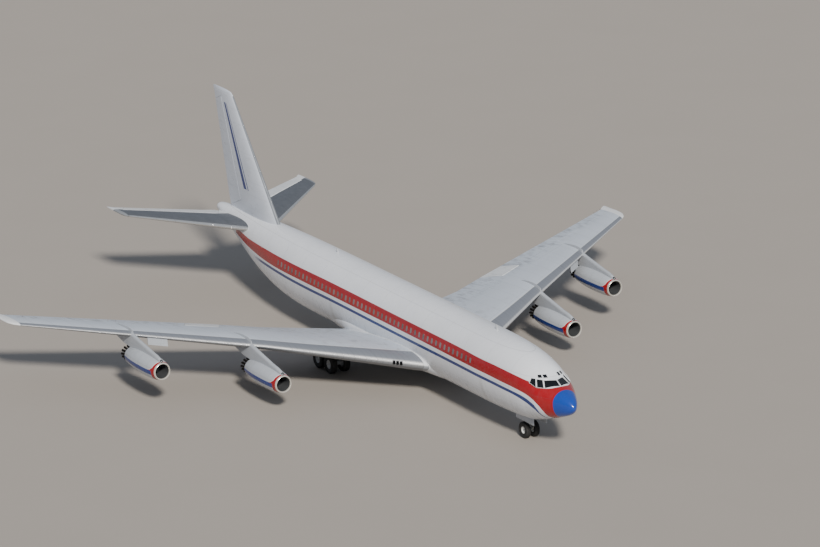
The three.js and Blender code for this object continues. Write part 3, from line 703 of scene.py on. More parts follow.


# Bare clad aluminium on the tailplane box: dull grey, brushed along the air flow, bright where the
# leading edge is kept polished by rain, brightened further there as a painted highlight
def tailplane_skin():
    paint = Finish("bare_aluminium_on_tailplane", "686C73", 0.42, 0.45)
    span = abs(paint.x)
    root = TAILPLANE[1]
    share = chord_share(paint, span, root, TAILPLANE[2], kink=root._replace(out=1.5))
    paint.mottle(0.5, 0.35, "575C62", stretch=(1, 4.0, 1))
    paint.layer(paint.noise(0.08, 5.0, stretch=(1, 8.0, 1)).ramp(0.45, 0.8, 0.0, 0.3), "82878C")
    # Painted highlight along the leading edge, over the polish of the real metal
    paint.layer(share.before(0.036, 0.004), "D3D5D6", gloss=0.24, metal=0.8)
    paint.layer(span.past(6.75 * SCALE, 0.006), "8F949A", metal=0.2)
    paint.layer(share.past(0.66, 0.003), "DCE0E4", metal=0.0)
    paint.scored(span.seams(0.9, 0.014) | share.between(0.036, 0.0395, 0.001), 0.45, "4B4E52", 0.003)
    return paint.done(0.08)


# White enamel on fin and rudder, its base greyed as painted shade, with two plain dark blue stripes
# that follow the sweep, a bare leading edge, and faint rib lines
def fin_paint():
    # Painted shade: the white base is set greyer and bluer than the body's own white enamel
    paint = Finish("enamel_on_fin_skin", "CDD4E0", 0.32, coat=0.2, coat_roughness=0.2)
    rise = paint.z
    share = chord_share(paint, rise, FIN[1], FIN[2])
    paint.mottle(1.0, 0.22, "B0B8C2")
    stripes = share.between(0.455, 0.53, 0.003) | share.between(0.405, 0.425, 0.003)
    paint.layer(stripes * rise.between(7.0 * SCALE, 12.1 * SCALE, 0.004), BLUE, gloss=0.28)
    paint.layer(share.before(0.018, 0.003), "A4A9AF", gloss=0.3, metal=0.6)
    paint.scored(rise.seams(0.85, 0.012) | share.between(0.30, 0.303, 0.001), 0.25, "6A6E73", 0.003)
    paint.layer(paint.noise(0.3, 6.0, stretch=(1, 3.0, 1), seed=6.0).ramp(0.6, 0.8, 0.0, 0.25), "8C8F92")
    return paint.done()


# Rear edge of the red ring on a nacelle, as [height from the centre, aft of the lip]
RING_EDGE = ((-0.70, 0.47), (-0.23, 0.43), (-0.22, 0.40), (0.045, 0.40), (0.05, 0.82), (0.10, 0.54),
             (0.25, 0.34), (0.45, 0.27), (0.56, 0.23), (0.70, 0.20))
RING_HEIGHT = 0.70


# Nacelle enamel: pale grey darkened in part as painted shade, a whiter front, a red ring round the front
# that runs to a point on both sides, a blue side band, soot towards the rear, a polished lip and a painted
# shade in the duct
def nacelle_paint(label, out, aft, up):
    # Painted shade in part: the pale grey base is set darker than the nacelle's own enamel
    paint = Finish(f"enamel_on_{label}_nacelle", "B4BAC2", 0.34, coat=0.2, coat_roughness=0.2)
    side = abs(paint.x) - out * SCALE
    along = paint.y - aft_at(aft)
    rise = paint.z - up * SCALE
    paint.mottle(0.5, 0.25, "A3A9B1")
    soot = paint.noise(0.15, 5.0, stretch=(1, 5.0, 1)).ramp(0.4, 0.7, 0.3, 1.0)
    paint.layer(along.ramp(3.0 * SCALE, 4.5 * SCALE, 0.0, 0.55) * soot, "77787A")
    level = rise.ramp(-RING_HEIGHT * SCALE, RING_HEIGHT * SCALE)
    edge = [(height / RING_HEIGHT / 2 + 0.5, limit) for height, limit in RING_EDGE]
    limit = level.curve(edge, "VECTOR") * SCALE
    paint.layer(along.before(limit + 0.035 * SCALE, 0.003), "ECEDEF")
    paint.layer(along.before(limit, 0.003), RED, gloss=0.28)
    band = rise.between(-0.22 * SCALE, 0.055 * SCALE, 0.003) * along.past(0.40 * SCALE, 0.003)
    paint.layer(band, "17357F", gloss=0.28)
    paint.layer(along.before(0.10 * SCALE), "E4E1D9", gloss=0.26, metal=0.55)
    radius = (side * side + rise * rise) ** 0.5
    # Painted shade: the inside of the intake duct is laid over with dark grey
    duct = radius.before(0.452 * SCALE) * along.past(0.09 * SCALE, 0.004)
    paint.layer(duct, "4E5154", gloss=0.45, metal=0.3)
    lines = along.seams(1.1, 0.014, shift=0.2) | rise.between(0.20 * SCALE, 0.212 * SCALE, 0.001)
    paint.scored(lines, 0.35, "54575B", 0.003)
    return paint.done()


# White-grey enamel on the pylons, with riveted access panels
def pylon_paint():
    paint = Finish("enamel_on_pylon", "ABB1B9", 0.36, coat=0.1)
    paint.mottle(0.4, 0.30, "989EA6")
    paint.scored(paint.y.seams(0.8, 0.012) | paint.z.seams(0.42, 0.012, shift=0.1), 0.28, "5E6267", 0.002)
    return paint.done()


# Laminated windscreen glass, dark because the cabin behind it is unlit
def windscreen_glass():
    paint = Finish("laminated_windscreen_glass", "07090C", 0.10, coat=0.15)
    paint.mottle(0.3, 0.5, "14181D")
    return paint.done(0.03)


# Stretched acrylic cabin panes with blinds drawn behind some of them, clouded by fine scratches
def cabin_pane():
    paint = Finish("stretched_acrylic_over_blind", "7A7274", 0.22, coat=0.2)
    window = math.floor(paint.y / (WINDOW_PITCH * SCALE))
    blind = Value(add(paint.tree, "ShaderNodeTexWhiteNoise", {"W": window}, noise_dimensions="1D"))
    paint.layer(blind * 0.8, "4B4548")
    paint.mottle(0.1, 0.3, "8F8A8C")
    return paint.done(0.04, 0.1)


def plain(name, base, roughness, metallic, size, shade, amount=0.35, relief=0.0):
    """Finish of a small part: one colour, clouded and a little uneven."""
    paint = Finish(name, base, roughness, metallic)
    paint.mottle(size, amount, shade)
    paint.mottle(size / 4, amount * 0.6, shade, detail=6.0, seed=3.0)
    if relief:
        paint.ripple(size / 3, relief, detail=4.0)
    return paint.done(0.08, size)


# White enamel on the nose wheels, with brake dust and a dark greasy hub centre
def nose_wheel_paint():
    paint = Finish("white_enamel_on_cast_magnesium", "E4E5E3", 0.42, 0.1)
    paint.mottle(0.12, 0.35, "9C9992")
    along = paint.y - aft_at(NOSE_GEAR["aft"])
    rise = paint.z - NOSE_GEAR["radius"] * SCALE
    paint.layer(((along * along + rise * rise) ** 0.5).before(0.05 * SCALE), "2E2F31", gloss=0.5)
    return paint.done(0.08, 0.12)


ENAMEL = fuselage_paint("enamel_on_aluminium_skin", (NOSE_ROOM, MAIN_ROOM))
DOOR_ENAMEL = fuselage_paint("enamel_on_belly_door", ())
RADOME = radome_paint()
WING_SKIN = wing_skin()
WHITE_SKIN = white_surface()
TAIL_SKIN = tailplane_skin()
FIN_PAINT = fin_paint()
PYLON_PAINT = pylon_paint()
GLASS = windscreen_glass()
PANE = cabin_pane()
# Enamelled forged steel of the legs: grey-white, greasy in the joints
LEG_ENAMEL = plain("enamel_on_forged_steel", "A9ADB0", 0.42, 0.1, 0.3, "6B6A66")
# Hard chromium on the sliding tubes: mirror-like with an oil film
CHROME = plain("hard_chrome_on_steel", "C9CBCC", 0.12, 1.0, 0.1, "9B9C9C", 0.2)
# Magnesium wheel halves painted grey, dusted black by the brakes
WHEEL_GREY = plain("enamel_on_cast_magnesium", "C4C6C8", 0.46, 0.15, 0.12, "6E6B67", 0.5)
WHEEL_WHITE = nose_wheel_paint()
# Carbon-black rubber: matt, greyed with dust on the tread
RUBBER = plain("carbon_black_tyre_rubber", "1A1A1B", 0.82, 0.0, 0.15, "343331", 0.6, 0.004)
# Heat-stained nickel steel of the exhaust: dark brown to black with soot
HOT_STEEL = plain("heat_stained_nickel_steel", "231F1C", 0.55, 0.7, 0.12, "14110F", 0.7, 0.002)
# Compressor inlet castings: dull grey metal in shade
INLET_METAL = plain("cast_aluminium_inlet", "505356", 0.42, 0.6, 0.1, "35373A", 0.4)
# The same primer on the inner pans of the belly doors
PRIMED = plain("zinc_chromate_primer", PRIMER, PRIMER_GLOSS, 0.0, 0.4, "4C4B3C", 0.6)
# Black rubber of seals and hoses
SEAL = plain("black_seal_rubber", "202123", 0.65, 0.0, 0.1, "3A3A3B", 0.4)


# Pieces of the aircraft

def fitted(piece, body, material, slot, *nodes, angle=32):
    """Give a piece its finish, its smooth and sharp edges and its body, and hide the model's parts it stands
    for.
    """
    piece.data.materials.clear()
    piece.data.materials.append(material)
    piece.data.shade_smooth()
    piece.data.set_sharp_from_angle(angle=math.radians(angle))
    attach(piece, body)
    if nodes:
        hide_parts(*nodes)


def well_block(side=1, inset=-RUN):
    """Room of one main gear well, or less by an inset."""
    ends = sorted((side * (MAIN_WELL["inner"] + inset), side * (MAIN_WELL["outer"] - inset)))
    return block(*ends, MAIN_WELL["front"] + inset, MAIN_WELL["rear"] - inset, 0, MAIN_WELL["roof"])


# Windscreen panes, front to rear, and the panes above them: corners as [out, aft, up] on the skin,
# port side, in order round each pane
PANES = (((0.035, 1.52, 4.08), (0.80, 1.93, 3.98), (0.62, 2.35, 4.30), (0.035, 1.98, 4.31)),
         ((0.86, 2.00, 3.98), (1.09, 2.33, 3.97), (0.90, 2.70, 4.33), (0.68, 2.41, 4.31)),
         ((1.14, 2.40, 3.97), (1.26, 2.92, 4.13), (1.06, 3.02, 4.34), (0.95, 2.76, 4.34)))
EYEBROWS = (((0.35, 2.36, 4.41), (0.55, 2.48, 4.39), (0.52, 2.70, 4.52), (0.33, 2.60, 4.54)),
            ((0.62, 2.52, 4.40), (0.80, 2.68, 4.39), (0.75, 2.86, 4.51), (0.59, 2.74, 4.53)))


def pane_prism(name, corners, low, high, grow):
    """Solid between two heights off a pane, which is laid on one plane and grown at its corners."""
    points = [Vector(corner) for corner in corners]
    centre = sum(points, Vector()) / 4
    normal = (points[2] - points[0]).cross(points[3] - points[1]).normalized()
    if normal.z < 0:
        normal = -normal
    flat = [point - normal * (point - centre).dot(normal) for point in points]
    wide = [point + (point - centre).normalized() * grow for point in flat]
    return built(name, *lofted([[point + normal * height for point in wide] for height in (low, high)]))


def both_sides(panes):
    """Each pane and its mirror image."""
    return [side for corners in panes for side in (corners, [(-x, y, z) for x, y, z in corners])]


def nose_block(aft):
    """Room round the whole nose, as far aft as a station."""
    return block(-3, 3, -1, aft, 0, 7)


def fuselage():
    whole = body_loft(FUSELAGE, 120, 130)
    shell = copied(whole, "fuselage_skin")
    carved(shell, wing_fairing(), operation="UNION")
    carved(shell, nose_block(RADOME_END + RADOME_GAP))
    carved(shell, block(*NOSE_WELL), well_block(1), well_block(-1))
    carved(shell, *(pane_prism("cut", corners, -0.030, 0.5, 0.006) for corners in both_sides(PANES)))
    radome = carved(whole, nose_block(RADOME_END), operation="INTERSECT")
    radome.name = "radome_shell"
    fitted(shell, "airframe", ENAMEL, "white_paint", "fuselage")
    fitted(radome, "airframe", RADOME, "blue_radome", "radome")
    return shell


def windscreen():
    """Panes of glass in painted frames, each as [low, high, grow] off the plane of its pane."""
    glass, posts = [], []
    for panes, pane, post, hole in ((PANES, (-0.045, -0.008, 0.010), (-0.05, 0.010, 0.030), 0.004),
                                    (EYEBROWS, (-0.05, 0.024, 0.004), (-0.05, 0.030, 0.024), 0.002)):
        for corners in both_sides(panes):
            glass.append(pane_prism("glass", corners, *pane))
            posts.append(carved(pane_prism("post", corners, *post),
                                pane_prism("hole", corners, -0.2, 0.2, hole)))
    fitted(merged("windscreen_panes", *glass), "airframe", GLASS, "dark_glass", "cockpit_glazing")
    frames = softened(merged("windscreen_frames", *posts), 0.004, 2)
    fitted(frames, "airframe", WHITE_SKIN, "white_paint")


def both_hands(item, node, body, material, slot):
    """Fit the left piece and its mirror image on their own bodies, for a node of each hand or none."""
    other = mirrored(item, item.name.replace("_left", "_right"))
    for hand, piece in (("left", item), ("right", other)):
        fitted(piece, body.format(hand), material, slot, *([f"{node}_{hand}"] if node else []))


def belly_layer(whole, name, low, high, inset):
    """Layer between two heights above the belly's skin, as wide as a gear well less an inset."""
    layer = carved(lifted(whole, name, low), well_block(1, inset), operation="INTERSECT")
    return carved(layer, lifted(whole, "inside", high))


def belly_doors():
    whole = carved(body_loft(FUSELAGE, 96, 100), wing_fairing(), operation="UNION")
    panel = belly_layer(whole, "main_gear_door_skin_left", 0, DOOR_SKIN, 0)
    both_hands(panel, "main_gear_door", "belly_door_{}", DOOR_ENAMEL, "white_paint")
    pan = belly_layer(whole, "belly_door_pan_left", DOOR_SKIN - 0.004, DOOR_SKIN + PAN_THICK, PAN_INSET)
    bpy.data.objects.remove(whole)
    both_hands(pan, None, "belly_door_{}", PRIMED, "white_paint")


def hinged(whole, stations, spec):
    """A control surface with a round nose, and the tools that make room for it."""
    inner, half_in = on_chord(plan_at(stations, spec.start), spec.hinge_in)
    outer, half_out = on_chord(plan_at(stations, spec.end), spec.hinge_out)
    line = HingeLine(inner, outer)
    moving = carved(copied(whole, f"{spec.name}_skin_left"), line.band(0, 0), operation="INTERSECT")
    carved(moving, line.core(0, half_in, half_out), operation="UNION")
    return moving, [line.band(RUN, -LIP * half_in), line.core(RUN, half_in + RUN, half_out + RUN)]


def flapped(whole, spec):
    ends = []
    for out, share in ((spec.start, spec.hinge_in), (spec.end, spec.hinge_out)):
        centre, half = on_chord(plan_at(WING, out), share)
        ends.append(centre - Vector((0, 0, half - FLAP_PIVOT)))
    line = HingeLine(*ends)
    moving = carved(copied(whole, f"{spec.name}_skin_left"), line.band(0, -FLAP_PIVOT), operation="INTERSECT")
    return moving, [line.band(RUN, -2 * FLAP_PIVOT)], line


def spoiler(whole, name, flap_line, start, end, depth):
    front = -2 * FLAP_PIVOT - depth + SPOILER_PIVOT
    ends = []
    for along in (start, end):
        point = flap_line.at(along, front)
        ends.append(Vector((point.x, point.y, skin_height(WING, point.x, point.y) - SPOILER_PIVOT)))
    line = HingeLine(*ends)
    rear = depth - SPOILER_PIVOT
    panel = copied(whole, f"{name}_skin_left")
    carved(panel, line.band(0, -SPOILER_PIVOT, rear), operation="INTERSECT")
    carved(panel, lifted(whole, "under", -SPOILER_SKIN))
    room = line.band(RUN, -SPOILER_PIVOT - RUN, rear + FLAP_PIVOT)
    carved(room, lifted(whole, "under", -SPOILER_SKIN - RUN))
    return panel, [room]


def wings():
    whole = surface_loft("wing_whole", WING)
    tools, moving = [], []
    for spec in AILERONS:
        piece, cuts = hinged(whole, WING, spec)
        moving.append((spec.name, piece, WHITE_SKIN if spec.name == "inner_aileron" else WING_SKIN))
        tools += cuts
    lines = []
    for spec in FLAPS:
        piece, cuts, line = flapped(whole, spec)
        moving.append((spec.name, piece, WING_SKIN))
        tools += cuts
        lines.append(line)
    for name, flap, *place in SPOILERS:
        piece, cuts = spoiler(whole, name, lines[flap], *place)
        moving.append((name, piece, WING_SKIN))
        tools += cuts
    whole.name = "wing_skin_left"
    carved(whole, *tools, well_block(1))
    both_hands(whole, "wing", "airframe", WING_SKIN, "grey_paint")
    for name, piece, material in moving:
        both_hands(piece, name, name + "_{}", material, "grey_paint")


def tailplane():
    whole = surface_loft("tailplane_skin_left", TAILPLANE)
    piece, tools = hinged(whole, TAILPLANE, ELEVATOR)
    carved(piece, block(-1, ELEVATOR_ROOT, 36, 48, 3, 7))
    carved(whole, *tools)
    both_hands(whole, "tailplane", "airframe", TAIL_SKIN, "grey_paint")
    both_hands(piece, "elevator", "elevator_{}", WHITE_SKIN, "white_paint")


def fin():
    lying = surface_loft("fin_lying", FIN)
    moving, tools = hinged(lying, FIN, RUDDER)
    carved(lying, *tools)
    upright = Matrix(((0, 0, -1, 0), (0, 1, 0, 0), (1, 0, 0, 0), (0, 0, 0, 1)))
    for item, name, body in ((lying, "fin", "airframe"), (moving, "rudder", "rudder")):
        piece = copied(item, f"{name}_skin", upright)
        bpy.data.objects.remove(item)
        fitted(piece, body, FIN_PAINT, "white_paint", name)


# Intake lip, cowl and duct as [radius, aft of the lip]
COWL = ((0.430, 4.00), (0.430, 0.20), (0.436, 0.12), (0.447, 0.06), (0.462, 0.02), (0.476, 0.004),
        (0.490, 0.0), (0.504, 0.006), (0.519, 0.025), (0.535, 0.06), (0.560, 0.17), (0.583, 0.30),
        (0.605, 0.45), (0.632, 0.68), (0.653, 0.92), (0.668, 1.20), (0.677, 1.55), (0.680, 1.95),
        (0.678, 2.30), (0.665, 2.70), (0.643, 3.06), (0.615, 3.40), (0.578, 3.72), (0.530, 4.05),
        (0.515, 4.05), (0.495, 4.00), (0.430, 4.00))
# Round fairing ahead of the compressor, exhaust and the small intake over the lip, in the same way
BULLET = ((0.0, 0.64), (0.045, 0.655), (0.085, 0.70), (0.115, 0.78), (0.135, 0.88), (0.140, 0.98),
          (0.140, 1.16), (0.428, 1.16), (0.428, 3.80), (0.0, 3.80))
NOZZLE = ((0.0, 3.80), (0.425, 3.80), (0.425, 4.02), (0.455, 4.06), (0.450, 4.16), (0.415, 4.30),
          (0.20, 4.34), (0.13, 4.55), (0.05, 4.70), (0.0, 4.72))
SCOOP = ((0.0, 0.12), (0.052, 0.12), (0.052, 0.012), (0.060, 0.0), (0.072, 0.012), (0.082, 0.14), (0.0, 0.14))
VANES, VANES_AFT = 23, 1.02
FINGERS, FINGERS_AFT = 12, 4.08
# Ridge of a pylon seen from the side, as [aft, up] from the centre of the intake lip
PYLON_NOSE = ((0.12, 0.68), (0.30, 0.77), (0.70, 0.87), (1.30, 0.95))
PYLON_START = 0.12
PYLON_HALF = 0.13
PYLON_PAST_EDGE = 3.10          # from the wing's leading edge to the pylon's rear end
PYLON_STEPS = 60
FENCE_START, FENCE_LENGTH, FENCE_TALL, FENCE_HALF = 0.10, 2.35, 0.17, 0.035
FENCE_STEPS = 24


def between_points(points, value):
    """Straight-line value between the points of a table."""
    for (x0, y0), (x1, y1) in zip(points, points[1:]):
        if value <= x1:
            return y0 + (y1 - y0) * (value - x0) / (x1 - x0)
    return points[-1][1]


def pylon(name, label):
    """Faired strut with a round ridge, and the fence it leaves on top of the wing."""
    out, aft, up = ENGINES[label]
    edge = wing_edge(out)
    first, last = aft + PYLON_START, edge.y + PYLON_PAST_EDGE
    ridge = [(aft + y, up + z) for y, z in PYLON_NOSE]
    ridge += [(edge.y - 0.35, edge.z + 0.02), (edge.y + 0.25, edge.z + 0.15), (last, edge.z - 0.30)]
    sole = [(aft, up + 0.44), (aft + 3.6, up + 0.50), (aft + 4.95, up + 0.56), (last, edge.z - 0.42)]
    widths = [(aft + 0.10, 0.60), (aft + 0.25, 0.82), (aft + 0.70, 1.0), (edge.y + 0.4, 1.0), (last, 0.16)]
    rings = []
    for step in range(PYLON_STEPS + 1):
        y = first + (last - first) * step / PYLON_STEPS
        wide = PYLON_HALF * between_points(widths, y)
        top, low = between_points(ridge, y), between_points(sole, y)
        dome = min(1.3 * wide, (top - low) * 0.6)
        arch = [(out + wide * cosine, y, top - dome + dome * sine) for cosine, sine in circle(24)[:13]]
        rings.append([(out + wide, y, low), *arch, (out - wide, y, low)])
    crest = []
    for step in range(FENCE_STEPS + 1):
        along = step / FENCE_STEPS
        y = edge.y + FENCE_START + FENCE_LENGTH * along
        tall = FENCE_TALL * (1 - along ** 2) + 0.012
        wide = FENCE_HALF * (1 - 0.5 * along)
        skin_up = skin_height(WING, out, y)
        crest.append([(out + x * wide, y, skin_up + z) for x, z in (
            (-1, -0.10), (1, -0.10), (0.55, tall * 0.8), (0, tall), (-0.55, tall * 0.8))])
    return merged(name, built("strut", *lofted(rings)), built("fence", *lofted(crest)))


def engines():
    for label, (out, aft, up) in ENGINES.items():
        paint = nacelle_paint(label, out, aft, up)
        strut = pylon(f"{label}_pylon_skin_left", label)
        both_hands(strut, f"{label}_pylon", "airframe", PYLON_PAINT, "white_paint")
        for hand, side in HANDS.items():
            centre = (side * out, aft, up)
            cowl = turned(f"{label}_cowl_skin_{hand}", COWL, centre, sides=96)
            fitted(cowl, "airframe", paint, "white_paint", f"{label}_cowl_{hand}")
            bullet = turned("bullet", BULLET, centre, sides=48)
            vane = built("vane", *lofted([
                [(x, y, rise) for x, y in ((-0.004, 0), (0.004, 0), (0.030, 0.12), (0.022, 0.12))]
                for rise in (0.13, 0.43)]))
            vanes = repeated("vanes", RING, vane, INLET_METAL, Count=VANES, Axis=(0, 1, 0),
                             Centre=placed((side * out, aft + VANES_AFT, up)))
            inlet = merged(f"{label}_inlet_{hand}", bullet, vanes)
            fitted(inlet, "airframe", INLET_METAL, "bare_metal")
            nozzle = turned("nozzle", NOZZLE, centre, sides=48)
            finger = carved(rod("finger", (0, 0, 0.27), (0, 0.62, 0.41), 0.080, 0.070, 16),
                            rod("bore", (0, 0.40, 0.36), (0, 0.75, 0.439), 0.056, sides=16))
            fingers = repeated("fingers", RING, finger, HOT_STEEL, Count=FINGERS, Axis=(0, 1, 0),
                               Centre=placed((side * out, aft + FINGERS_AFT, up)))
            exhaust = merged(f"{label}_exhaust_{hand}", nozzle, fingers)
            fitted(exhaust, "airframe", HOT_STEEL, "dark_metal", f"{label}_engine_{hand}")
            scoop = turned(f"{label}_compressor_intake_{hand}", SCOOP, (side * out, aft + 0.05, up + 0.625),
                           sides=24)
            # The small intake over the lip is finished in black seal rubber as a painted shade of its mouth
            fitted(scoop, "airframe", SEAL, "dark_metal")


# Geometry Nodes: copies round an axis, and copies in a row laid on a skin

def begun(name, sockets):
    """A Geometry Nodes tree, and its named inputs."""
    tree = bpy.data.node_groups.new(name, "GeometryNodeTree")
    tree.interface.new_socket("Geometry", in_out="OUTPUT", socket_type="NodeSocketGeometry")
    for title, kind in sockets.items():
        tree.interface.new_socket(title, in_out="INPUT", socket_type=f"NodeSocket{kind}")
    return tree, add(tree, "NodeGroupInput").outputs


def ended(tree, given, points, rotation):
    """Close a tree with copies on its points, made real and given their finish."""
    shape = add(tree, "GeometryNodeObjectInfo", {"Object": given["Copy"]})
    copies = add(tree, "GeometryNodeInstanceOnPoints",
                 {"Points": points, "Instance": shape.outputs["Geometry"], "Rotation": rotation})
    real = add(tree, "GeometryNodeRealizeInstances", {0: copies})
    finished = add(tree, "GeometryNodeSetMaterial", {"Geometry": real, "Material": given["Finish"]})
    add(tree, "NodeGroupOutput", {0: finished})
    return tree


def ring_tree():
    tree, given = begun("copies round an axis", {
        "Copy": "Object", "Count": "Int", "Axis": "Vector", "Centre": "Vector", "Finish": "Material"})
    points = add(tree, "GeometryNodePoints", {"Count": given["Count"], "Position": given["Centre"]})
    turn = add(tree, "ShaderNodeMath", {0: 2 * math.pi, 1: given["Count"]}, operation="DIVIDE")
    spin = add(tree, "FunctionNodeAxisAngleToRotation",
               {"Axis": given["Axis"], "Angle": Value(add(tree, "GeometryNodeInputIndex")) * turn})
    return ended(tree, given, points, spin)


def row_tree():
    tree, given = begun("copies in a row on a skin", {
        "Copy": "Object", "Skin": "Object", "Count": "Int", "First": "Vector", "Last": "Vector",
        "Towards": "Vector", "Finish": "Material"})
    line = add(tree, "GeometryNodeMeshLine", {"Count": given["Count"], "Start Location": given["First"],
                                              "Offset": given["Last"]}, mode="END_POINTS")
    skin = add(tree, "GeometryNodeObjectInfo", {"Object": given["Skin"]})
    ray = add(tree, "GeometryNodeRaycast",
              {"Target Geometry": skin.outputs["Geometry"], "Ray Direction": given["Towards"]})
    facing = add(tree, "FunctionNodeAlignRotationToVector", {"Vector": ray.outputs["Hit Normal"]}, axis="Z")
    kept = add(tree, "GeometryNodeStoreNamedAttribute", {"Geometry": line, "Name": "facing", "Value": facing},
               data_type="QUATERNION", domain="POINT")
    on_skin = add(tree, "GeometryNodeSetPosition",
                  {"Geometry": kept, "Position": ray.outputs["Hit Position"]})
    read = add(tree, "GeometryNodeInputNamedAttribute", {"Name": "facing"}, data_type="QUATERNION")
    return ended(tree, given, on_skin, read.outputs["Attribute"])


RING = ring_tree()
ROW = row_tree()


def repeated(name, tree, copy, material, **inputs):
    """Run a tree on a small shape, which is drawn about the origin in real metres and used up, and
    keep the result as plain mesh."""
    copy.data.transform(Matrix.Translation(-placed((0, 0, 0))))
    values = {"Copy": copy, "Finish": material, **inputs}
    item = shown(name, bpy.data.meshes.new(name))
    step = item.modifiers.new(tree.name, "NODES")
    step.node_group = tree
    for socket in tree.interface.items_tree:
        if socket.in_out == "INPUT":
            step[socket.identifier] = values[socket.name]
    settled(item)
    bpy.data.objects.remove(copy)
    return item


def rounded_plate(width, height, corner, low, high, points=6):
    """Outline of a window as a plate in the XY plane: X runs up and down, Y along the body."""
    outline = []
    for sx, sy, turn in ((1, 1, 0), (-1, 1, 1), (-1, -1, 2), (1, -1, 3)):
        for i in range(points):
            angle = math.pi / 2 * (turn + i / (points - 1))
            outline.append((sx * (height / 2 - corner) + corner * math.cos(angle),
                            sy * (width / 2 - corner) + corner * math.sin(angle)))
    return built("plate", *lofted([[(x, y, z) for x, y in outline] for z in (low, high)]))


def cabin_windows(skin):
    """Rows of cabin windows: a painted frame round a scratched pane."""
    for hand, side in HANDS.items():
        first, last = (placed((side * 2.6, aft, WINDOW_UP)) for aft in (WINDOW_FIRST, WINDOW_LAST))
        rim = carved(rounded_plate(0.27, 0.39, 0.09, -0.02, 0.006),
                     rounded_plate(0.21, 0.33, 0.075, -0.1, 0.1))
        pane = rounded_plate(0.215, 0.335, 0.078, -0.02, 0.003)
        for name, copy, material, slot in (("cabin_window_frames", rim, ENAMEL, "white_paint"),
                                           ("cabin_window_panes", pane, PANE, "dark_glass")):
            row = repeated(f"{name}_{hand}", ROW, copy, material, Skin=skin, Count=WINDOWS,
                           First=first, Last=last, Towards=(-side, 0, 0))
            fitted(row, "airframe", material, slot)


# Wheels and legs

HUB_HALF = 0.36                 # half the width of a wheel, as a share of its tyre's
BOLTS = 12


def tyre_profile(radius, width, rim):
    """Tyre section with four grooves in a flat tread, bulged walls and a bead at the rim."""
    half = width / 2
    wall = [(rim, -half * 0.66), (rim + 0.02, -half * 0.80)]
    wall += [(radius * r, -half * x) for r, x in (
        (0.66, 0.97), (0.80, 1), (0.90, 0.95), (0.965, 0.82), (0.99, 0.70))]
    tread = []
    for centre in (-0.45, -0.15, 0.15, 0.45):
        middle = centre * half
        tread += [(radius - sunk, middle + x) for sunk, x in (
            (0, -0.012), (0.012, -0.010), (0.012, 0.010), (0, 0.012))]
    section = wall + [(radius, -half * 0.60)] + tread + [(radius, half * 0.60)]
    section += [(r, -x) for r, x in reversed(wall)]
    return section + [section[0]]


def hub_profile(width, spread, rim, boss):
    """Outer face of one wheel: dished, with a raised rim and a hub cap."""
    half = width * HUB_HALF
    face = [(rim * r, half * x) for r, x in (
        (0, 0.62), (0.20, 0.62), (0.30, 0.50), (0.42, 0.30), (0.62, 0.22), (0.80, 0.45), (0.86, 0.90),
        (0.99, 1), (0.99, -1), (0.80, -0.9), (0.40, -0.3))]
    return face + [(0.082, -half * 0.3), (0.082, boss - spread), (0.0, boss - spread)]


def wheel_set(name, body, centre, gear, rim, boss, material, nodes, tyres):
    """A pair of wheels that turn as one: hubs with their bolts, and a tyre on each."""
    radius, width, spread = gear["radius"], gear["width"], gear["spread"]
    out, aft, up = centre
    parts = []
    for side in (-1, 1):
        middle = (out + side * spread, aft, up)
        profile = [(r, side * x) for r, x in hub_profile(width, spread, rim, boss)]
        parts.append(turned("hub", profile, middle, "X", 48))
        start, end = ((side * x, 0, rim * 0.70) for x in (0.02, 0.02 + width * HUB_HALF * 0.34))
        parts.append(repeated("bolts", RING, rod("bolt", start, end, 0.014, sides=6), material,
                              Count=BOLTS, Axis=(1, 0, 0), Centre=placed(middle)))
        tyre = turned(tyres[side] + "_tread", tyre_profile(radius, width, rim), middle, "X", 72)
        fitted(tyre, body, RUBBER, "tyre", tyres[side], angle=28)
    fitted(merged(name, *parts), body, material, "bare_metal", nodes)


def collar_at(out, aft, up, *profile):
    """Upright collar turned from [radius, height over its base]."""
    ends = ((0.0, profile[0][1]), *profile, (0.0, profile[-1][1]))
    return turned("collar", ends, (out, aft, up), "Z", 32)


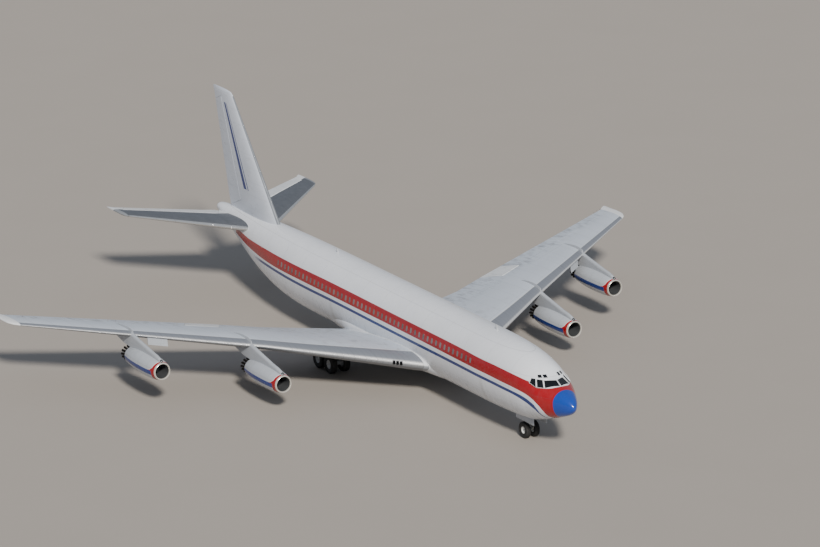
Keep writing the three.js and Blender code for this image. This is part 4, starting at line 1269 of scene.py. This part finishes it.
def main_gear():
    gear = MAIN_GEAR
    axle, half_base = gear["radius"], gear["base"] / 2
    for hand, side in HANDS.items():
        out, aft = side * gear["out"], gear["aft"]
        fitted(rod(f"main_piston_{hand}", (out, aft, 0.70), (out, aft, 1.26), 0.085), "airframe", CHROME,
               "bare_metal")
        knee = (out, aft + 0.34, 1.02)
        parts = [
            rod("cylinder", (out, aft, 1.22), (out, aft, 2.32), 0.135, sides=28),
            collar_at(out, aft, 1.16, (0.125, 0), (0.148, 0.03), (0.148, 0.14), (0.135, 0.17)),
            collar_at(out, aft, 1.72, (0.155, 0), (0.165, 0.04), (0.165, 0.14), (0.155, 0.18)),
            rod("beam", (out, aft - half_base - 0.10, axle), (out, aft + half_base + 0.10, axle), 0.095),
            rod("beam_boss", (out, aft - 0.20, axle), (out, aft + 0.20, axle), 0.125, sides=28),
            rod("foot", (out, aft, axle), (out, aft, axle + 0.22), 0.118, 0.095, 24),
            rod("side_stay", (out, aft, 1.45), (out - side * 0.95, aft - 0.35, 2.2), 0.055),
            rod("drag_stay", (out, aft, 1.45), (out + side * 0.10, aft - 1.35, 2.4), 0.055),
            cross_pin((out, aft, 1.45), 0.16, 0.05),
        ]
        for y in (aft - half_base, aft + half_base):
            parts.append(cross_pin((out, y, axle), 0.15, 0.135, 28))
            parts.append(cross_pin((out, y, axle), 0.46, 0.07))
            ends = ((out + side * 0.10, y, axle + 0.16), (out + side * 0.10, aft, axle + 0.20))
            parts.append(rod("brake_rod", *ends, 0.018, sides=10))
        for height in (0.80, 1.24):
            parts.append(rod("link", (out, aft + 0.10, height), knee, 0.045, 0.030, 12))
        parts.append(cross_pin(knee, 0.07, 0.028, 12))
        leg = merged(f"main_leg_forging_{hand}", *parts)
        fitted(leg, "airframe", LEG_ENAMEL, "bare_metal", f"main_leg_{hand}")
        # Brake hoses run down the fat cylinder, then step in below its gland
        run = [(-0.13 - 0.02 * k, 2.3 - 0.12 * k) for k in range(9)]
        run += [(-0.10 - 0.03 * k, 1.22 - 0.09 * k) for k in range(5)]
        pipes = [hose("pipe", [(out + side * 0.05 + shift, aft + y, z) for y, z in run], 0.012)
                 for shift in (0.0, 0.035)]
        fitted(merged(f"main_leg_hoses_{hand}", *pipes), "airframe", SEAL, "tyre")
        for y, label in ((aft - half_base, "front"), (aft + half_base, "rear")):
            names = {side: f"main_{label}_tyre_outer_{hand}", -side: f"main_{label}_tyre_inner_{hand}"}
            wheel_set(f"main_{label}_wheels_metal_{hand}", f"main_{label}_wheels_{hand}", (out, y, axle),
                      gear, 0.27, 0.15, WHEEL_GREY, f"main_{label}_hubs_{hand}", names)


def nose_gear():
    gear = NOSE_GEAR
    aft, radius, collar = gear["aft"], gear["radius"], gear["collar"]
    fixed = [
        rod("cylinder", (0, aft, collar + 0.004), (0, aft, 2.149), 0.105, sides=28),
        collar_at(0, aft, collar, (0.14, 0.002), (0.148, 0.02), (0.148, 0.12), (0.105, 0.16)),
        rod("drag_stay", (0, aft, 1.34), (0, NOSE_WELL[2] + 0.25, 1.95), 0.045),
        cross_pin((0, aft - 0.30, 1.46), 0.06, 0.04),
        rod("lamp", (0.10, aft - 0.13, 1.42), (0.10, aft - 0.20, 1.42), 0.075, 0.085),
        *(rod("jack", (out, aft - 0.02, collar + 0.10), (out, aft - 0.02, collar + 0.46), 0.04)
          for out in (0.16, -0.16)),
    ]
    leg = merged("nose_leg_forging", *fixed)
    fitted(leg, "airframe", LEG_ENAMEL, "bare_metal", "nose_leg")
    steered = [
        rod("piston", (0, aft, radius), (0, aft, collar - 0.002), 0.072),
        collar_at(0, aft, collar, (0.125, -0.10), (0.13, -0.08), (0.13, -0.004)),
        cross_pin((0, aft, radius), 0.098, 0.12, 28),
        cross_pin((0, aft, radius), 0.34, 0.068),
        *(rod("link", (0, aft + 0.06, up), (0, aft + 0.24, 0.80), 0.035, 0.025, 12)
          for up in (collar - 0.07, radius + 0.08)),
        block(-0.045, 0.045, aft - 0.20, aft - 0.05, collar - 0.09, collar - 0.03),
    ]
    fork = merged("nose_fork_forging", *steered)
    fitted(fork, "nose_steering", LEG_ENAMEL, "bare_metal", "nose_fork")
    wheel_set("nose_wheels_metal", "nose_wheels", (0, aft, radius), gear, 0.21, 0.10, WHEEL_WHITE,
              "nose_hubs", {1: "nose_tyre_left", -1: "nose_tyre_right"})


def nose_doors():
    for hand, side in HANDS.items():
        ends = sorted((side * 0.42, side * 0.45))
        door = softened(block(*ends, NOSE_WELL[2] + 0.35, NOSE_WELL[3], 1.10, 1.62), 0.005, 3)
        door.name = f"nose_gear_door_skin_{hand}"
        # The doors take the pylons' grey enamel as a painted shade: they hang in the shadow of the belly
        fitted(door, "airframe", PYLON_PAINT, "white_paint", f"nose_gear_door_{hand}")


def half_width(rows, aft, up):
    """Half width of a body at a height, or zero outside it."""
    if not rows[0].aft <= aft <= rows[-1].aft:
        return 0
    half, keel, crown = (between_points([(row.aft, row[k]) for row in rows], aft) for k in (1, 2, 3))
    waist = keel + WAIST * (crown - keel)
    reach, power = (crown - waist, 2) if up > waist else (waist - keel, LOWER_FULLNESS)
    share = abs(up - waist) / reach
    return half * (1 - share ** power) ** (1 / power) if share < 1 else 0


SEAM_REACH = 1.6                # farthest that a root's seam lies outside its first station
HALVINGS = 24


def root_seam(name, stations, places, radius):
    """Bead of sealant where a lifting surface meets the body, through places on its root."""
    route = []
    for share, side in places:
        inside, outside = stations[0].out, stations[0].out + SEAM_REACH
        for _ in range(HALVINGS):
            middle = (inside + outside) / 2
            point, _ = on_chord(plan_at(stations, middle), share, side)
            wide = max(half_width(FUSELAGE, point.y, point.z), half_width(FAIRING, point.y, point.z))
            inside, outside = (middle, outside) if point.x < wide else (inside, middle)
        route.append(tuple(point))
    return hose(name, route, radius)


def root_seams():
    shares = chord_steps(40)
    places = [(share, -1) for share in shares[12:0:-1]] + [(0, 1)] + [(share, 1) for share in shares[1:38]]
    for surface, stations, radius in (("wing", WING, 0.035), ("tailplane", TAILPLANE, 0.018)):
        seam = root_seam(f"{surface}_root_seam_left", stations, places, radius)
        both_hands(seam, None, "airframe", WHITE_SKIN, "white_paint")


# Places of the small fittings along the wing, as distances out, and a section of a leading-edge flap as
# [aft, up] from the wing's edge
PLATE_ENDS = (14.05, 15.0)
PLATE_SECTION = ((0.10, -0.06), (0.14, -0.06), (0.13, -0.30), (0.07, -0.50), (0.03, -0.51), (0.08, -0.30))
LAMPS, LAMP_WIDTH = (2.86, 3.03, 3.20), 0.13
WICKS = (20.50, 20.80, 21.10)
# Blade aerials on the crown and under the belly: aft, up, height, chord, and -1 for downward
AERIALS = ((8.6, 5.585, 0.32, 0.34, 1), (28.2, 5.585, 0.26, 0.30, 1), (10.8, 1.315, 0.24, 0.28, -1))
BEACON = (0, 12.6, 1.24)


def blade_aerial(aft, up, tall, chord, way):
    """Swept blade that stands on the body or hangs under it, thinner and narrower to its tip."""
    rings = []
    for share in (0, 0.25, 0.5, 0.75, 1):
        front, width = aft + 0.45 * tall * share, chord * (1 - 0.45 * share)
        section = [(0.22 * bulge(s) * (1 - 0.4 * share), front + width * s, up + way * tall * share)
                   for s in reversed(chord_steps(8))]
        rings.append(section + [(-x, y, z) for x, y, z in section[-2:0:-1]])
    return built("blade", *lofted(rings))


def small_fittings():
    """Aerials, probes, lights, static wicks and the small flaps under the leading edge."""
    blades = merged("blade_aerials", *(blade_aerial(*sizes) for sizes in AERIALS))
    fitted(blades, "airframe", WHITE_SKIN, "white_paint")
    probes = (rod("pitot", (side * 1.02, 2.10, 3.10), (side * 1.16, 1.86, 3.08), 0.014, 0.008, 12)
              for side in (-1, 1))
    fitted(merged("pitot_probes", *probes), "airframe", CHROME, "bare_metal")
    plates, lamps, wicks = [], [], []
    for side in (1, -1):
        plates.append(built("plate", *lofted([
            [(side * out, wing_edge(out).y + y, wing_edge(out).z + z) for y, z in PLATE_SECTION]
            for out in PLATE_ENDS])))
        for out in LAMPS:
            edge = wing_edge(out)
            ends = sorted((side * out, side * (out + LAMP_WIDTH)))
            lamps.append(block(*ends, edge.y - 0.002, edge.y + 0.12, edge.z - 0.09, edge.z + 0.13))
        for out in WICKS:
            station = plan_at(WING, out)
            start, end = ((side * out, station.rear + y, station.rear_z) for y in (-0.02, 0.16))
            wicks.append(rod("wick", start, end, 0.006, sides=6))
    fitted(merged("leading_edge_flaps", *plates), "airframe", PYLON_PAINT, "grey_paint")
    fitted(merged("landing_lamps", *lamps), "airframe", GLASS, "dark_glass")
    fitted(merged("static_wicks", *wicks), "airframe", SEAL, "tyre")
    beacon = turned("belly_beacon", ((0.0, 0.0), (0.05, 0.01), (0.075, 0.04), (0.08, 0.08), (0.0, 0.08)),
                    BEACON, "Z", 24)
    fitted(beacon, "airframe", SEAL, "dark_glass")


skin = fuselage()
windscreen()
belly_doors()
wings()
tailplane()
fin()
engines()
cabin_windows(skin)
main_gear()
nose_gear()
nose_doors()
root_seams()
small_fittings()


# Floor, light and camera

FLOOR_HALF = 900
SKY, SKY_STRENGTH = "CDD9EC", 0.42
SUN, SUN_STRENGTH, SUN_WIDTH = "FFF8EE", 5.0, 7
SUN_WAY = (0.47, 1.40, -1.0)
# Place of the photograph's camera as [out, aft, up], its turns in degrees and its focal length and
# picture width in pixels, found from known points of the aircraft
CAMERA_PLACE = (-140.511, -236.537, 91.787)
CAMERA_TURNS = (28.792, 16.296, -1.378)
FOCAL_PIXELS, PICTURE_PIXELS = 5056.4, 820
SENSOR = 36


def stage():
    corners = [(x * FLOOR_HALF, y * FLOOR_HALF + MIDDLE, 0) for x, y in ((-1, -1), (1, -1), (1, 1), (-1, 1))]
    floor = built("floor", corners, [(0, 1, 2, 3)])
    # Sealed pale concrete: even, matt, faintly clouded
    paint = Finish("sealed_pale_concrete", "A39D96", 0.85)
    paint.mottle(6.0, 0.15, "9B958E")
    floor.data.materials.append(paint.done(0.03))
    world = bpy.data.worlds.new("soft studio")
    bpy.context.scene.world = world
    world.use_nodes = True
    sky = world.node_tree.nodes["Background"].inputs
    sky["Color"].default_value = linear(SKY)
    sky["Strength"].default_value = SKY_STRENGTH
    sun = bpy.data.lights.new("soft key", "SUN")
    sun.energy = SUN_STRENGTH
    sun.angle = math.radians(SUN_WIDTH)
    sun.color = linear(SUN)[:3]
    lamp = shown("soft key", sun)
    lamp.rotation_mode = "QUATERNION"
    lamp.rotation_quaternion = Vector(SUN_WAY).to_track_quat("-Z", "Y")


def camera():
    """Camera at the photograph's own place."""
    yaw, pitch, roll = (math.radians(turn) for turn in CAMERA_TURNS)
    look = Vector((math.cos(pitch) * math.sin(yaw), math.cos(pitch) * math.cos(yaw), -math.sin(pitch)))
    right = look.cross(Vector((0, 0, 1))).normalized()
    up = right.cross(look)
    level = right * math.cos(roll) + up * math.sin(roll)
    tall = -right * math.sin(roll) + up * math.cos(roll)
    data = bpy.data.cameras.new("camera")
    data.sensor_width = SENSOR
    data.lens = FOCAL_PIXELS / PICTURE_PIXELS * SENSOR
    data.clip_end = 2000
    item = shown("camera", data)
    turn = Matrix((level, tall, -look)).transposed().to_4x4()
    item.matrix_world = Matrix.Translation(placed(CAMERA_PLACE)) @ turn
    bpy.context.scene.camera = item


stage()
camera()
